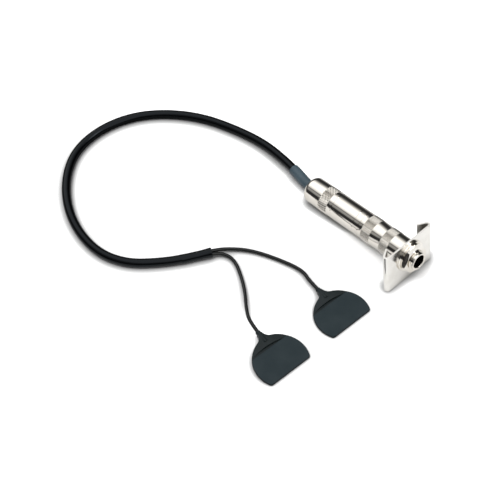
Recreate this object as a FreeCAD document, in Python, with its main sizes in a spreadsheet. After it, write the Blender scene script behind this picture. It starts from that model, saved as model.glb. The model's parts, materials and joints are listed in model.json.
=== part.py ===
"""Contact pickup for an upright string instrument.

Two half-moon sensors sit on thin leads.  The leads run back through one
black sleeve to a quarter inch barrel jack, which is held in a folded sheet
bracket by washers and a hexagon nut.

Frame: +X runs along the table from the cable end of the jack to its mouth,
+Y points away from the sensors to the jack, +Z is up, and the table is z = 0.
Sizes are in millimetres.
"""
import FreeCAD, Part
import math
import os

import Sketcher
from FreeCAD import Placement, Rotation, Vector

OUTPUT_FOLDER = "parts"
NUT_SIDES = 6

# The jack's lengths lie along its own axis, from the bracket's front face.
JACK_SIZES = {
    "barrel_radius": 6.35,
    "seam_chamfer": 0.14,
    "knurl_proud": 0.1,
    "knurl_chamfer": 0.1,
    "nose_reach": 5.65,
    "nose_radius": 4.7,
    "nose_chamfer": 0.4,
    "plug_bore_radius": 3.28,
    "plug_bore_chamfer": 0.25,
    "plug_bore_end": 10.0,
    "front_length": 26.9,
    "front_knurl_start": 8.5,
    "front_knurl_length": 4.9,
    "middle_knurl_margin": 2.3,
    "middle_knurl_length": 5.35,
    "collar_length": 3.2,
    "collar_wall": 0.5,
    "thread_clearance": 0.05,
    "thread_runout": 0.3,
    "spigot_length": 6.3,
    "spigot_wall": 0.8,
    "middle_length": 13.9,
    "rear_spigot_length": 5.0,
    "rear_spigot_wall": 0.6,
    "shell_wall": 0.6,
    "shell_length": 18.4,
    "shell_lip": 2.4,
    "rear_knurl_length": 5.4,
    "shell_end_wall": 3.8,
    "shell_rounding": 2.9,
    "exit_clearance": 0.18,
}

STACK_SIZES = {
    "seat_depth": 0.1,
    "seat_width": 0.4,
    "disc_thickness": 1.2,
    "disc_clearance": 0.05,
    "spring_thickness": 0.35,
    "spring_width": 2.4,
    "spring_height": 3.6,
    "spring_dip": 1.15,
    "spring_nib_station": 18.7,
    "spring_slope_run": 2.2,
    "tag_depth": 2.0,
    "tag_length": 6.4,
    "slot_clearance": 0.15,
    "ground_ring_thickness": 0.4,
    "ground_ring_width": 1.55,
    "rivet_radius": 0.5,
    "rivet_head_radius": 0.72,
    "rivet_head": 0.3,
    "retainer_thickness": 1.0,
    "retainer_width": 1.05,
    "strap_depth": 4.5,
    "strap_thickness": 0.45,
    "strap_width": 2.4,
    "crimp_length": 4.0,
    "crimp_wall": 0.5,
    "crimp_gap": 2.0,
    "crimp_clearance": 0.07,
    "crimp_lead": 0.5,
    "crimp_slope_run": 2.4,
    "liner_wall": 0.2,
    "liner_gap": 0.4,
    "liner_length": 10.0,
    "wire_radius": 0.35,
    "solder_gap": 0.02,
    "wire_gap": 0.4,
    "shield_wire_shift": 1.2,
    "shield_wire_end_shift": 0.6,
    "shield_wire_length": 7.4,
}

BRACKET_SIZES = {
    "bracket_half_width": 14.5,
    "bracket_top": 8.8,
    "bracket_drop": 13.1,
    "bracket_thickness": 0.9,
    "bracket_bend": 1.6,
    "bracket_turn": 150.0,
    "lip_length": 4.2,
    "nose_clearance": 0.15,
    "washer_radius": 7.85,
    "washer_thickness": 0.95,
    "washer_chamfer": 0.2,
    "lock_radius": 6.85,
    "lock_thickness": 0.65,
    "nut_flats": 12.7,
    "nut_thickness": 2.3,
    "nut_corner_chamfer": 0.45,
}

SENSOR_SIZES = {
    "sensor_radius": 12.8,
    "sensor_chord": 6.4,
    "sensor_corner": 1.2,
    "fold_depth": 5.05,
    "shelf_thickness": 0.78,
    "face_thickness": 0.42,
    "face_inset": 0.12,
    "face_rounding": 0.2,
    "groove_width": 1.3,
    "groove_end_width": 0.15,
    "groove_radius": 42.0,
    "groove_shift": 3.0,
    "mound_peak": 2.6,
    "mound_fall": 0.16,
    "mound_setback": 1.0,
    "neck_skew": 3.0,
    "neck_radius": 1.2,
    "neck_web": 3.5,
    "neck_length": 4.1,
    "neck_lift": 0.25,
    "neck_chamfer": 0.2,
    "neck_bore_clearance": 0.05,
    "lead_entry": 2.0,
    "element_wall": 0.9,
    "element_clearance": 0.2,
    "element_cover_gap": 0.03,
    "brass_thickness": 0.2,
    "ceramic_radius": 5.0,
    "ceramic_thickness": 0.18,
    "silver_radius": 4.5,
    "silver_thickness": 0.04,
}

CORD_SIZES = {
    "jacket_radius": 2.15,
    "jacket_bore_radius": 1.9,
    "lead_radius": 0.85,
    "lead_offset": 0.95,
    "boot_radius": 2.42,
    "boot_bore_radius": 2.2,
    "boot_grip": 1.0,
    "cord_grip": 10.9,
    "exit_run": 3.1,
    "neck_run": 11.5,
    "arc_share": 0.45,
}

PLACES = {
    "jack_front_x": 28.17,
    "jack_y": 36.76,
    "sensor_a_x": 24.27,
    "sensor_a_y": -0.97,
    "sensor_a_yaw": -1.6,
    "sensor_b_x": 23.38,
    "sensor_b_y": -37.55,
    "sensor_b_yaw": -1.9,
    "sensor_b_pitch": 6.8,
}

# Control points of the sleeve's centre line behind the jack, mouth last.
JACKET_ROUTE = [
    (-54.5, 40.4, 3.9),
    (-70.3, 41.6, 2.7),
    (-86.8, 37.6, 2.2),
    (-102.3, 30.6, 2.2),
    (-116.2, 19.7, 2.2),
    (-126.6, 6.1, 2.2),
    (-131.3, -10.6, 2.2),
    (-129.3, -26.9, 2.2),
    (-120.0, -40.3, 2.2),
    (-106.3, -51.2, 2.2),
    (-90.3, -57.7, 2.2),
    (-73.8, -58.9, 2.2),
    (-60.4, -53.2, 2.2),
    (-51.2, -42.6, 2.2),
    (-45.3, -32.2, 2.3),
    (-39.5, -20.9, 2.6),
]

# Past the sleeve's last bend the two leads turn from one above the other to
# side by side, leave the mouth and go their own ways to the sensors.
LEAD_A_TAIL = [
    (-42.9, -26.2, 3.1),
    (-40.35, -20.5, 2.6),
    (-37.0, -14.2, 1.8),
    (-29.6, -6.6, 1.1),
    (-18.3, -1.1, 0.95),
    (-5.0, 3.2, 1.1),
]
LEAD_B_TAIL = [
    (-41.6, -26.8, 1.75),
    (-38.65, -21.35, 2.6),
    (-35.9, -16.9, 1.7),
    (-30.0, -14.9, 1.1),
    (-21.5, -18.6, 1.0),
    (-13.3, -23.8, 1.7),
    (-5.9, -30.5, 3.6),
]

DOC = FreeCAD.newDocument("pickup")
SHEET = DOC.addObject("Spreadsheet::Sheet", "Size")


class Dim:
    """A size with its value and the formula that binds it to the sheet."""

    def __init__(self, value, formula):
        self.value = float(value)
        self.formula = formula

    def _join(self, other, sign, value):
        text = other.formula if isinstance(other, Dim) else repr(float(other))
        return Dim(value, "(%s %s %s)" % (self.formula, sign, text))

    def __add__(self, other):
        return self._join(other, "+", self.value + number(other))

    def __sub__(self, other):
        return self._join(other, "-", self.value - number(other))

    def __mul__(self, other):
        return self._join(other, "*", self.value * number(other))

    def __truediv__(self, other):
        return self._join(other, "/", self.value / number(other))

    def __neg__(self):
        return Dim(-self.value, "(0 - %s)" % self.formula)


def of_angle(function, angle, share=1.0):
    """The tangent, sine or cosine of a share of an angle held in degrees."""
    turn = angle * share
    return Dim(getattr(math, function)(math.radians(turn.value)), "%s(%s)" % (function, turn.formula))


def number(size):
    """The plain value of a size or a number."""
    return size.value if isinstance(size, Dim) else float(size)


def fill_sheet():
    """Write every driving dimension to the sheet with its alias."""
    sizes = {}
    row = 1
    groups = (JACK_SIZES, STACK_SIZES, BRACKET_SIZES, SENSOR_SIZES, CORD_SIZES, PLACES)
    for group in groups:
        for name, value in group.items():
            SHEET.set("A%d" % row, name)
            SHEET.set("B%d" % row, repr(value))
            SHEET.setAlias("B%d" % row, name)
            sizes[name] = Dim(value, "Size.%s" % name)
            row += 1
    DOC.recompute()
    return sizes


SIZES = fill_sheet()


def dim(name):
    """A named driving dimension."""
    return SIZES[name]


def value(name):
    """The plain number of a named driving dimension."""
    return SIZES[name].value


def bind(thing, prop, size):
    """Set a property to a size, through the sheet where the size has a formula."""
    if isinstance(size, Dim):
        thing.setExpression(prop, size.formula)


def origin_plane(body, role):
    """One of a body's own origin planes."""
    return [feature for feature in body.Origin.OriginFeatures if feature.Role == role][0]


def closed_sketch(body, name, plane, corners):
    """A sketch with one closed outline whose corners are tied to the sheet."""
    sketch = body.newObject("Sketcher::SketchObject", name)
    sketch.AttachmentSupport = (origin_plane(body, plane), [""])
    sketch.MapMode = "FlatFace"
    count = len(corners)
    points = [Vector(number(u), number(v), 0) for u, v in corners]
    for index in range(count):
        sketch.addGeometry(Part.LineSegment(points[index], points[(index + 1) % count]), False)
    for index in range(count):
        after = (index + 1) % count
        sketch.addConstraint(Sketcher.Constraint("Coincident", index, 2, after, 1))
    for index, (u, v) in enumerate(corners):
        for kind, size, axis in (("DistanceX", u, -2), ("DistanceY", v, -1)):
            if number(size) == 0.0:
                sketch.addConstraint(Sketcher.Constraint("PointOnObject", index, 1, axis))
                continue
            held = sketch.addConstraint(Sketcher.Constraint(kind, -1, 1, index, 1, number(size)))
            if isinstance(size, Dim):
                sketch.setExpression("Constraints[%d]" % held, size.formula)
    return sketch


def turned(label, corners, place):
    """A piece turned about the jack's axis, from its half section (station, radius)."""
    body = DOC.addObject("PartDesign::Body", label)
    section = closed_sketch(body, label + "_section", "XZ_Plane", corners)
    turn = body.newObject("PartDesign::Revolution", label + "_turn")
    turn.Profile = section
    turn.ReferenceAxis = (section, ["H_Axis"])
    turn.Angle = 360.0
    DOC.recompute()
    body.Placement = place
    return body


def rod(name, start, length, radius, y=0.0, z=0.0):
    """A cylinder along the jack's axis, towards the mouth."""
    piece = DOC.addObject("Part::Cylinder", name)
    piece.Radius = number(radius)
    piece.Height = number(length)
    bind(piece, "Radius", radius)
    bind(piece, "Height", length)
    spot = Vector(number(start), number(y), number(z))
    piece.Placement = Placement(spot, Rotation(Vector(0, 1, 0), 90))
    bind(piece, ".Placement.Base.x", start)
    bind(piece, ".Placement.Base.y", y)
    bind(piece, ".Placement.Base.z", z)
    return piece


def block(name, low, size):
    """A box from its low corner and its three lengths."""
    piece = DOC.addObject("Part::Box", name)
    for prop, length in zip(("Length", "Width", "Height"), size):
        setattr(piece, prop, number(length))
        bind(piece, prop, length)
    piece.Placement = Placement(Vector(*[number(corner) for corner in low]), Rotation())
    for axis, corner in zip("xyz", low):
        bind(piece, ".Placement.Base." + axis, corner)
    return piece


def cut(label, base, *tools):
    """The base less every tool, as one labelled piece."""
    result = base
    for index, tool in enumerate(tools):
        step = DOC.addObject("Part::Cut", "%s_cut_%d" % (label, index + 1))
        step.Base = result
        step.Tool = tool
        result = step
    result.Label = label
    return result


def fuse(label, *pieces):
    """Several solids made one, as one labelled piece."""
    result = DOC.addObject("Part::MultiFuse", label + "_fuse")
    result.Shapes = list(pieces)
    result.Refine = True
    result.Label = label
    return result


def common(label, first, second):
    """What two solids share, as one labelled piece."""
    result = DOC.addObject("Part::Common", label + "_common")
    result.Base = first
    result.Tool = second
    result.Label = label
    return result


def formed(label, shape, place=None):
    """A piece whose shape is worked out here from the sheet's sizes."""
    piece = DOC.addObject("Part::Feature", label)
    piece.Label = label
    piece.Shape = shape
    if place is not None:
        piece.Placement = place
    return piece


def station(name):
    """Distances along the jack's axis, from the bracket's front face to the cable."""
    chain = {
        "collar": ("front_length",),
        "collar_end": ("front_length", "collar_length"),
        "middle_end": ("front_length", "collar_length", "middle_length"),
        "shell_end": ("front_length", "collar_length", "middle_length", "shell_length"),
        "spigot_end": ("front_length", "spigot_length"),
        "seat": ("front_length", "seat_depth"),
    }
    total = dim(chain[name][0])
    for part in chain[name][1:]:
        total = total + dim(part)
    return total


def spigot_radius():
    """The outside of the front barrel's spigot, under the collar's wall."""
    return dim("barrel_radius") - dim("collar_wall") - dim("thread_clearance")


def spigot_bore_radius():
    """The inside of the front barrel's spigot, where the contact stack sits."""
    return spigot_radius() - dim("spigot_wall")


def rear_spigot_radius():
    """The outside of the middle barrel's spigot, under the shell's wall."""
    return dim("barrel_radius") - dim("shell_wall") - dim("thread_clearance")


def middle_bore_radius():
    """The inside of the middle barrel and of the rear shell."""
    return rear_spigot_radius() - dim("rear_spigot_wall")


def exit_radius():
    """The hole that the boot comes out of."""
    return dim("boot_radius") + dim("exit_clearance")


def lip_reach():
    """How far the bracket's lips reach behind its front face."""
    bend = value("bracket_bend")
    turn = math.radians(value("bracket_turn"))
    return bend - bend * math.cos(turn) + value("lip_length") * math.sin(turn)


def jack_placement():
    """The jack's frame: it lies on the bracket's lips and on the shell's rounded end."""
    run = station("shell_end").value - value("shell_rounding") - lip_reach()
    rise = value("bracket_drop") - (value("barrel_radius") - value("shell_rounding"))
    tilt = math.acos(value("shell_rounding") / math.hypot(rise, run)) - math.atan2(run, rise)
    height = value("bracket_drop") * math.cos(tilt) + lip_reach() * math.sin(tilt)
    spot = Vector(value("jack_front_x"), value("jack_y"), height)
    return Placement(spot, Rotation(Vector(0, 1, 0), -math.degrees(tilt)))


JACK = jack_placement()


def knurl_corners(start, end):
    """The outline of one knurled band, from the front to the rear."""
    low = dim("barrel_radius")
    high = low + dim("knurl_proud")
    slope = dim("knurl_chamfer")
    return [(-start, low), (-(start + slope), high), (-(end - slope), high), (-end, low)]


def front_barrel():
    """The turned front of the jack: threaded nose, plug bore, barrel and rear spigot."""
    barrel = dim("barrel_radius")
    chamfer = dim("seam_chamfer")
    nose = dim("nose_radius")
    bore = dim("plug_bore_radius")
    tip = dim("nose_reach")
    plate = dim("bracket_thickness")
    front_knurl = dim("front_knurl_start")
    middle_knurl = station("collar") - dim("middle_knurl_margin")
    corners = [
        (tip, bore + dim("plug_bore_chamfer")),
        (tip, nose - dim("nose_chamfer")),
        (tip - dim("nose_chamfer"), nose),
        (-plate, nose),
        (-plate, barrel - chamfer),
        (-(plate + chamfer), barrel),
    ]
    corners += knurl_corners(front_knurl, front_knurl + dim("front_knurl_length"))
    corners += knurl_corners(middle_knurl - dim("middle_knurl_length"), middle_knurl)
    corners += [
        (-(station("collar") - chamfer), barrel),
        (-station("collar"), barrel - chamfer),
        (-station("collar"), spigot_radius()),
        (-station("spigot_end"), spigot_radius()),
        (-station("spigot_end"), spigot_bore_radius()),
        (-station("seat"), spigot_bore_radius()),
        (-station("seat"), spigot_bore_radius() - dim("seat_width")),
        (-dim("plug_bore_end"), spigot_bore_radius() - dim("seat_width")),
        (-dim("plug_bore_end"), bore),
        (tip - dim("plug_bore_chamfer"), bore),
    ]
    return turned("front_barrel", corners, JACK)


def collar_ring():
    """The lock ring between the front and the middle barrel."""
    barrel = dim("barrel_radius")
    chamfer = dim("seam_chamfer")
    start = station("collar")
    end = station("collar_end")
    inside = barrel - dim("collar_wall")
    corners = [
        (-start, inside),
        (-start, barrel - chamfer),
        (-(start + chamfer), barrel),
        (-(end - chamfer), barrel),
        (-end, barrel - chamfer),
        (-end, inside),
    ]
    return turned("collar_ring", corners, JACK)


def middle_barrel():
    """The tube that screws over the front spigot and carries the rear shell."""
    barrel = dim("barrel_radius")
    chamfer = dim("seam_chamfer")
    start = station("collar_end")
    end = station("middle_end")
    socket = barrel - dim("collar_wall")
    socket_end = station("spigot_end") + dim("thread_runout")
    spigot_end = end + dim("rear_spigot_length")
    corners = [
        (-start, socket),
        (-start, barrel - chamfer),
        (-(start + chamfer), barrel),
        (-(end - chamfer), barrel),
        (-end, barrel - chamfer),
        (-end, rear_spigot_radius()),
        (-spigot_end, rear_spigot_radius()),
        (-spigot_end, middle_bore_radius()),
        (-socket_end, middle_bore_radius()),
        (-socket_end, socket),
    ]
    return turned("middle_barrel", corners, JACK)


def rear_shell():
    """The domed cover that unscrews to reach the solder tags."""
    barrel = dim("barrel_radius")
    chamfer = dim("seam_chamfer")
    start = station("middle_end")
    end = station("shell_end")
    socket = barrel - dim("shell_wall")
    socket_end = start + dim("rear_spigot_length") + dim("thread_runout")
    inside_end = end - dim("shell_end_wall")
    knurl = start + dim("shell_lip")
    corners = [
        (-start, socket),
        (-start, barrel - chamfer),
        (-(start + chamfer), barrel),
    ]
    corners += knurl_corners(knurl, knurl + dim("rear_knurl_length"))
    corners += [
        (-end, barrel),
        (-end, exit_radius()),
        (-inside_end, exit_radius()),
        (-inside_end, middle_bore_radius()),
        (-socket_end, middle_bore_radius()),
        (-socket_end, socket),
    ]
    body = turned("rear_shell", corners, Placement())
    rim = rim_edge(body.Shape, -end.value, barrel.value)
    solid = body.Tip
    dome = body.newObject("PartDesign::Fillet", "rear_shell_dome")
    dome.Base = (solid, [rim])
    dome.Radius = value("shell_rounding")
    dome.setExpression("Radius", dim("shell_rounding").formula)
    DOC.recompute()
    body.Placement = JACK
    return body


def rim_edge(shape, station, radius):
    """The name of the round edge at a station and a radius."""
    for index, edge in enumerate(shape.Edges, 1):
        curve = edge.Curve
        if isinstance(curve, Part.Circle) and abs(curve.Radius - radius) < 1e-6:
            if abs(curve.Center.x - station) < 1e-6:
                return "Edge%d" % index
    raise ValueError("no edge at station %.3f, radius %.3f" % (station, radius))


# The contact stack sits in the front barrel's spigot: two insulating discs with
# the tip spring's foot between them, the ground ring behind, two rivets through
# all of them, and a ring that holds the stack against its seat.
def layer(name):
    """Where a layer of the stack starts, from the seat towards the cable."""
    order = (
        ("front_disc", "disc_thickness"),
        ("spring", "spring_thickness"),
        ("rear_disc", "disc_thickness"),
        ("ground_ring", "ground_ring_thickness"),
        ("retainer", "retainer_thickness"),
    )
    start = station("seat")
    for part, thickness in order:
        if part == name:
            return start
        start = start + dim(thickness)
    raise KeyError(name)


def disc_radius():
    """The outer radius of what sits in the spigot."""
    return spigot_bore_radius() - dim("disc_clearance")


def rivet_offset():
    """The rivets stand in the middle of the ground ring's width."""
    return disc_radius() - dim("ground_ring_width") / 2.0


def rivet_pair(name, rear, length, radius):
    """Two rods at the rivets' places, as holes or as shanks."""
    return [
        rod("%s_%d" % (name, index + 1), -rear, length, radius, y=rivet_offset() * side)
        for index, side in enumerate((-1.0, 1.0))
    ]


def placed(piece):
    """Put a jack piece into the jack's frame."""
    piece.Placement = JACK
    return piece


def insulating_disc(label, start, slot_low):
    """A round insulator with two rivet holes and a slot for the spring strip."""
    thickness = dim("disc_thickness")
    end = start + thickness
    gap = dim("slot_clearance")
    width = dim("spring_width") + gap * 2.0
    disc = rod(label + "_round", -end, thickness, disc_radius())
    slot = block(label + "_slot", (-end, -(width / 2.0), slot_low - gap),
                 (thickness, width, dim("spring_thickness") + gap * 2.0))
    holes = rivet_pair(label + "_hole", end, thickness, dim("rivet_radius"))
    return placed(cut(label, disc, slot, *holes))


def insulator_front():
    """The front disc, whose slot passes the spring's arm."""
    return insulating_disc("insulator_front", layer("front_disc"), dim("spring_height"))


def insulator_rear():
    """The rear disc, whose slot passes the solder tag."""
    low = -(dim("tag_depth") + dim("spring_thickness"))
    return insulating_disc("insulator_rear", layer("rear_disc"), low)


def strip(points, thickness, width):
    """A bent sheet strip through (station, height) points, mitred at its bends."""
    left = []
    right = []
    for index, (x, z) in enumerate(points):
        spot = Vector(x, 0, z)
        before = Vector(points[max(index - 1, 0)][0], 0, points[max(index - 1, 0)][1])
        after_index = min(index + 1, len(points) - 1)
        after = Vector(points[after_index][0], 0, points[after_index][1])
        arriving = spot - before if index > 0 else after - spot
        leaving = after - spot if index < len(points) - 1 else arriving
        arriving = Vector(arriving).normalize()
        leaving = Vector(leaving).normalize()
        along = (arriving + leaving).normalize()
        mitre = Vector(-along.z, 0, along.x)
        reach = thickness / 2.0 / mitre.dot(Vector(-arriving.z, 0, arriving.x))
        left.append(spot + mitre * reach)
        right.append(spot - mitre * reach)
    outline = left + right[::-1]
    face = Part.Face(Part.makePolygon(outline + outline[:1]))
    face.translate(Vector(0, -width / 2.0, 0))
    return face.extrude(Vector(0, width, 0))


def tag_end():
    """The rear end of the tip spring's solder tag."""
    return layer("retainer") + dim("retainer_thickness") + dim("tag_length")


def tip_spring():
    """The bent strip that touches the plug's tip, with its solder tag behind."""
    half = value("spring_thickness") / 2.0
    foot = layer("spring").value + half
    arm = value("spring_height") + half
    tag = -(value("tag_depth") + half)
    nib = value("spring_nib_station")
    slope = value("spring_slope_run")
    points = [
        (-tag_end().value, tag),
        (-foot, tag),
        (-foot, arm),
        (-(nib + slope), arm),
        (-nib, arm - value("spring_dip")),
        (-(nib - slope), arm),
    ]
    return formed("tip_spring", strip(points, 2.0 * half, value("spring_width")), JACK)


def crimp_start():
    """The front end of the crimp that grips the sleeve."""
    return cord_start() - dim("crimp_lead")


def ground_strap():
    """The ground ring, the strap that runs back from it and the crimp on the sleeve."""
    ring_end = layer("retainer")
    thickness = dim("ground_ring_thickness")
    bore = disc_radius() - dim("ground_ring_width")
    ring = cut("ground_ring", rod("ground_ring_round", -ring_end, thickness, disc_radius()),
               rod("ground_ring_bore", -ring_end, thickness, bore),
               *rivet_pair("ground_ring_hole", ring_end, thickness, dim("rivet_radius")))
    half = value("strap_thickness") / 2.0
    level = half - value("strap_depth")
    crimp_bore = dim("jacket_radius") + dim("crimp_clearance")
    crimp_outside = crimp_bore + dim("crimp_wall")
    start = crimp_start()
    end = start + dim("crimp_length")
    under = -(crimp_bore.value + value("crimp_wall") / 2.0)
    points = [
        (-layer("ground_ring").value, level),
        (-(start.value - value("crimp_slope_run")), level),
        (-start.value, under),
        (-end.value, under),
    ]
    strap = formed("ground_strap_strip", strip(points, 2.0 * half, value("strap_width")))
    gap = dim("crimp_gap")
    band = cut("ground_crimp", rod("ground_crimp_round", -end, dim("crimp_length"), crimp_outside),
               block("ground_crimp_gap", (-end, -(gap / 2.0), 0.0),
                     (dim("crimp_length"), gap, crimp_outside)))
    joined = fuse("ground_strap_joined", ring, strap, band)
    inside = rod("ground_crimp_bore", -end, dim("crimp_length") + dim("crimp_slope_run"), crimp_bore)
    return placed(cut("ground_strap", joined, inside))


def stack_rivets():
    """Two rivets through the stack, flush in front and headed behind."""
    rear = layer("retainer")
    shanks = rivet_pair("rivet_shank", rear, rear - station("seat"), dim("rivet_radius"))
    head = dim("rivet_head")
    heads = rivet_pair("rivet_head", rear + head, head, dim("rivet_head_radius"))
    return placed(fuse("stack_rivets", *(shanks + heads)))


def stack_retainer():
    """The ring that keeps the stack on its seat, open below for the strap."""
    start = layer("retainer")
    thickness = dim("retainer_thickness")
    end = start + thickness
    ring = rod("stack_retainer_round", -end, thickness, disc_radius())
    bore = rod("stack_retainer_bore", -end, thickness, disc_radius() - dim("retainer_width"))
    width = dim("strap_width") + dim("slot_clearance") * 2.0
    notch = block("stack_retainer_notch", (-end, -(width / 2.0), -disc_radius()),
                  (thickness, width, disc_radius()))
    pocket = dim("rivet_head") + dim("disc_clearance")
    pockets = rivet_pair("stack_retainer_pocket", start + pocket, pocket,
                         dim("rivet_head_radius") + dim("disc_clearance"))
    return placed(cut("stack_retainer", ring, bore, notch, *pockets))


def insulating_liner():
    """The paper tube that keeps the tag off the middle barrel."""
    outer = middle_bore_radius() - dim("disc_clearance")
    start = station("spigot_end") + dim("liner_gap")
    end = start + dim("liner_length")
    corners = [
        (-start, outer - dim("liner_wall")),
        (-start, outer),
        (-end, outer),
        (-end, outer - dim("liner_wall")),
    ]
    return turned("insulating_liner", corners, JACK)


def wire(label, start, end):
    """A short straight wire inside the jack."""
    run = Vector(*end) - Vector(*start)
    piece = DOC.addObject("Part::Cylinder", label)
    piece.Radius = value("wire_radius")
    bind(piece, "Radius", dim("wire_radius"))
    piece.Height = run.Length
    piece.Placement = JACK * Placement(Vector(*start), Rotation(Vector(0, 0, 1), run))
    return piece


def signal_wire():
    """The wire from the solder tag back to the lower lead."""
    lift = value("wire_radius") + value("solder_gap") - value("tag_depth")
    start = (value("wire_radius") - tag_end().value, 0.0, lift)
    end = (value("wire_gap") - cord_start().value, 0.0, -value("lead_offset"))
    return wire("signal_wire", start, end)


def shield_wire():
    """The wire from the strap up to the upper lead."""
    lift = value("strap_thickness") + value("wire_radius") + value("solder_gap") - value("strap_depth")
    rear = value("wire_gap") - cord_start().value
    start = (rear + value("shield_wire_length"), value("shield_wire_shift"), lift)
    end = (rear, value("shield_wire_end_shift"), value("lead_offset") - value("wire_radius"))
    return wire("shield_wire", start, end)


def upright_edge(shape, x, y):
    """The name of the straight edge that stands at a place in plan."""
    for index, edge in enumerate(shape.Edges, 1):
        ends = [vertex.Point for vertex in edge.Vertexes]
        if len(ends) == 2 and all(math.hypot(end.x - x, end.y - y) < 1e-6 for end in ends):
            return "Edge%d" % index
    raise ValueError("no upright edge at %.3f, %.3f" % (x, y))


def bracket():
    """The folded sheet: a plate with two side lips turned back and inwards."""
    thickness = dim("bracket_thickness")
    bend = dim("bracket_bend")
    turn = dim("bracket_turn")
    sharp = of_angle("tan", turn, 0.5)
    apex = dim("bracket_half_width") - bend + bend * sharp
    lip = bend * sharp + dim("lip_length")
    back = of_angle("sin", turn)
    side = of_angle("cos", turn)
    outer_end = (-(lip * back), apex + lip * side)
    inner_end = (outer_end[0] - thickness * side, outer_end[1] - thickness * back)
    inner_apex = (-thickness, apex - thickness * sharp)
    right = [(0.0, apex), outer_end, inner_end, inner_apex]
    left = [(x, -y) for x, y in right[::-1]]

    body = DOC.addObject("PartDesign::Body", "bracket")
    section = closed_sketch(body, "bracket_section", "XY_Plane", right + left)
    plate = body.newObject("PartDesign::Pad", "bracket_plate")
    plate.Profile = section
    plate.SideType = "Two sides"
    plate.Length = value("bracket_top")
    plate.setExpression("Length", dim("bracket_top").formula)
    plate.Length2 = value("bracket_drop")
    plate.setExpression("Length2", dim("bracket_drop").formula)
    DOC.recompute()
    for name, radius, (x, y) in (("outer", bend, right[0]), ("inner", bend - thickness, right[3])):
        base = body.Tip
        folds = [upright_edge(base.Shape, number(x), sign * number(y)) for sign in (1.0, -1.0)]
        fold = body.newObject("PartDesign::Fillet", "bracket_%s_folds" % name)
        fold.Base = (base, folds)
        fold.Radius = radius.value
        fold.setExpression("Radius", radius.formula)
        DOC.recompute()
    outline = body.newObject("Sketcher::SketchObject", "bracket_hole_outline")
    outline.AttachmentSupport = (origin_plane(body, "YZ_Plane"), [""])
    outline.MapMode = "FlatFace"
    radius = dim("nose_radius") + dim("nose_clearance")
    outline.addGeometry(Part.Circle(Vector(0, 0, 0), Vector(0, 0, 1), radius.value), False)
    outline.addConstraint(Sketcher.Constraint("Coincident", 0, 3, -1, 1))
    held = outline.addConstraint(Sketcher.Constraint("Radius", 0, radius.value))
    outline.setExpression("Constraints[%d]" % held, radius.formula)
    hole = body.newObject("PartDesign::Pocket", "bracket_hole")
    hole.Profile = outline
    hole.Type = "Length"
    hole.Midplane = True
    hole.Length = 2.0 * value("bracket_bend")
    hole.setExpression("Length", "2 * " + bend.formula)
    DOC.recompute()
    body.Placement = JACK
    return body


def flat_washer():
    """The wide washer on the bracket's front face."""
    chamfer = dim("washer_chamfer")
    outer = dim("washer_radius")
    thick = dim("washer_thickness")
    inside = dim("nose_radius") + dim("nose_clearance")
    corners = [(0.0, inside), (thick, inside), (thick, outer - chamfer),
               (thick - chamfer, outer), (0.0, outer)]
    return turned("flat_washer", corners, JACK)


def lock_washer():
    """The smaller washer between the flat washer and the nut."""
    inside = dim("nose_radius") + dim("nose_clearance")
    start = dim("washer_thickness")
    end = start + dim("lock_thickness")
    corners = [(start, inside), (end, inside), (end, dim("lock_radius")), (start, dim("lock_radius"))]
    return turned("lock_washer", corners, JACK)


def hex_nut():
    """The hexagon nut, one flat up, with its corners turned off on both faces."""
    start = dim("washer_thickness") + dim("lock_thickness")
    end = start + dim("nut_thickness")
    flat = dim("nut_flats") / 2.0
    half_side = Dim(180.0 / NUT_SIDES, repr(180.0 / NUT_SIDES))
    corner = flat / of_angle("cos", half_side)
    prism = DOC.addObject("Part::Prism", "hex_nut_prism")
    prism.Polygon = NUT_SIDES
    prism.Circumradius = corner.value
    prism.Height = value("nut_thickness")
    bind(prism, "Circumradius", corner)
    bind(prism, "Height", dim("nut_thickness"))
    lying = Rotation(Vector(1, 0, 0), 90) * Rotation(Vector(0, 1, 0), 90)
    prism.Placement = Placement(Vector(start.value, 0, 0), lying)
    bind(prism, ".Placement.Base.x", start)
    inside = dim("nose_radius")
    slope = dim("nut_corner_chamfer")
    corners = [
        (start, inside),
        (start, flat),
        (start + slope, corner),
        (end - slope, corner),
        (end, flat),
        (end, inside),
    ]
    lens = turned("hex_nut_lens", corners, Placement())
    return placed(common("hex_nut", prism, lens))


# Each sensor has its own frame: the disc's centre on the underside, +X towards
# the straight edge and the neck on the far side.
def half_moon(radius, chord, corner, level):
    """A disc cut by its straight front edge, with the two corners rounded."""
    inner_y = math.sqrt((radius - corner) ** 2 - (chord - corner) ** 2)
    inner_x = chord - corner
    share = radius / (radius - corner)
    slant = math.atan2(inner_y, inner_x) / 2.0

    def at(x, y):
        return Vector(x, y, level)

    edges = []
    for side in (1.0, -1.0):
        on_disc = at(inner_x * share, side * inner_y * share)
        bulge = at(inner_x + corner * math.cos(slant), side * (inner_y + corner * math.sin(slant)))
        edges.append(Part.Arc(at(chord, side * inner_y), bulge, on_disc).toShape())
    edges.append(Part.LineSegment(at(chord, inner_y), at(chord, -inner_y)).toShape())
    edges.append(Part.Arc(at(inner_x * share, inner_y * share), at(-radius, 0),
                          at(inner_x * share, -inner_y * share)).toShape())
    return Part.Face(Part.Wire(Part.__sortEdges__(edges)))


def sensor_fold():
    """How far behind the disc's centre the face plate ends and the mound begins."""
    return value("sensor_radius") - value("fold_depth")


def neck_reach():
    """The neck's mouth, from the disc's centre."""
    return value("sensor_radius") + value("neck_length")


def lead_reach():
    """The lead's end, moulded into the mound a little way inside the disc's rim."""
    return value("sensor_radius") - value("lead_entry")


def neck_height():
    """The neck's axis above the underside."""
    return value("neck_radius") + value("neck_lift")


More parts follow.
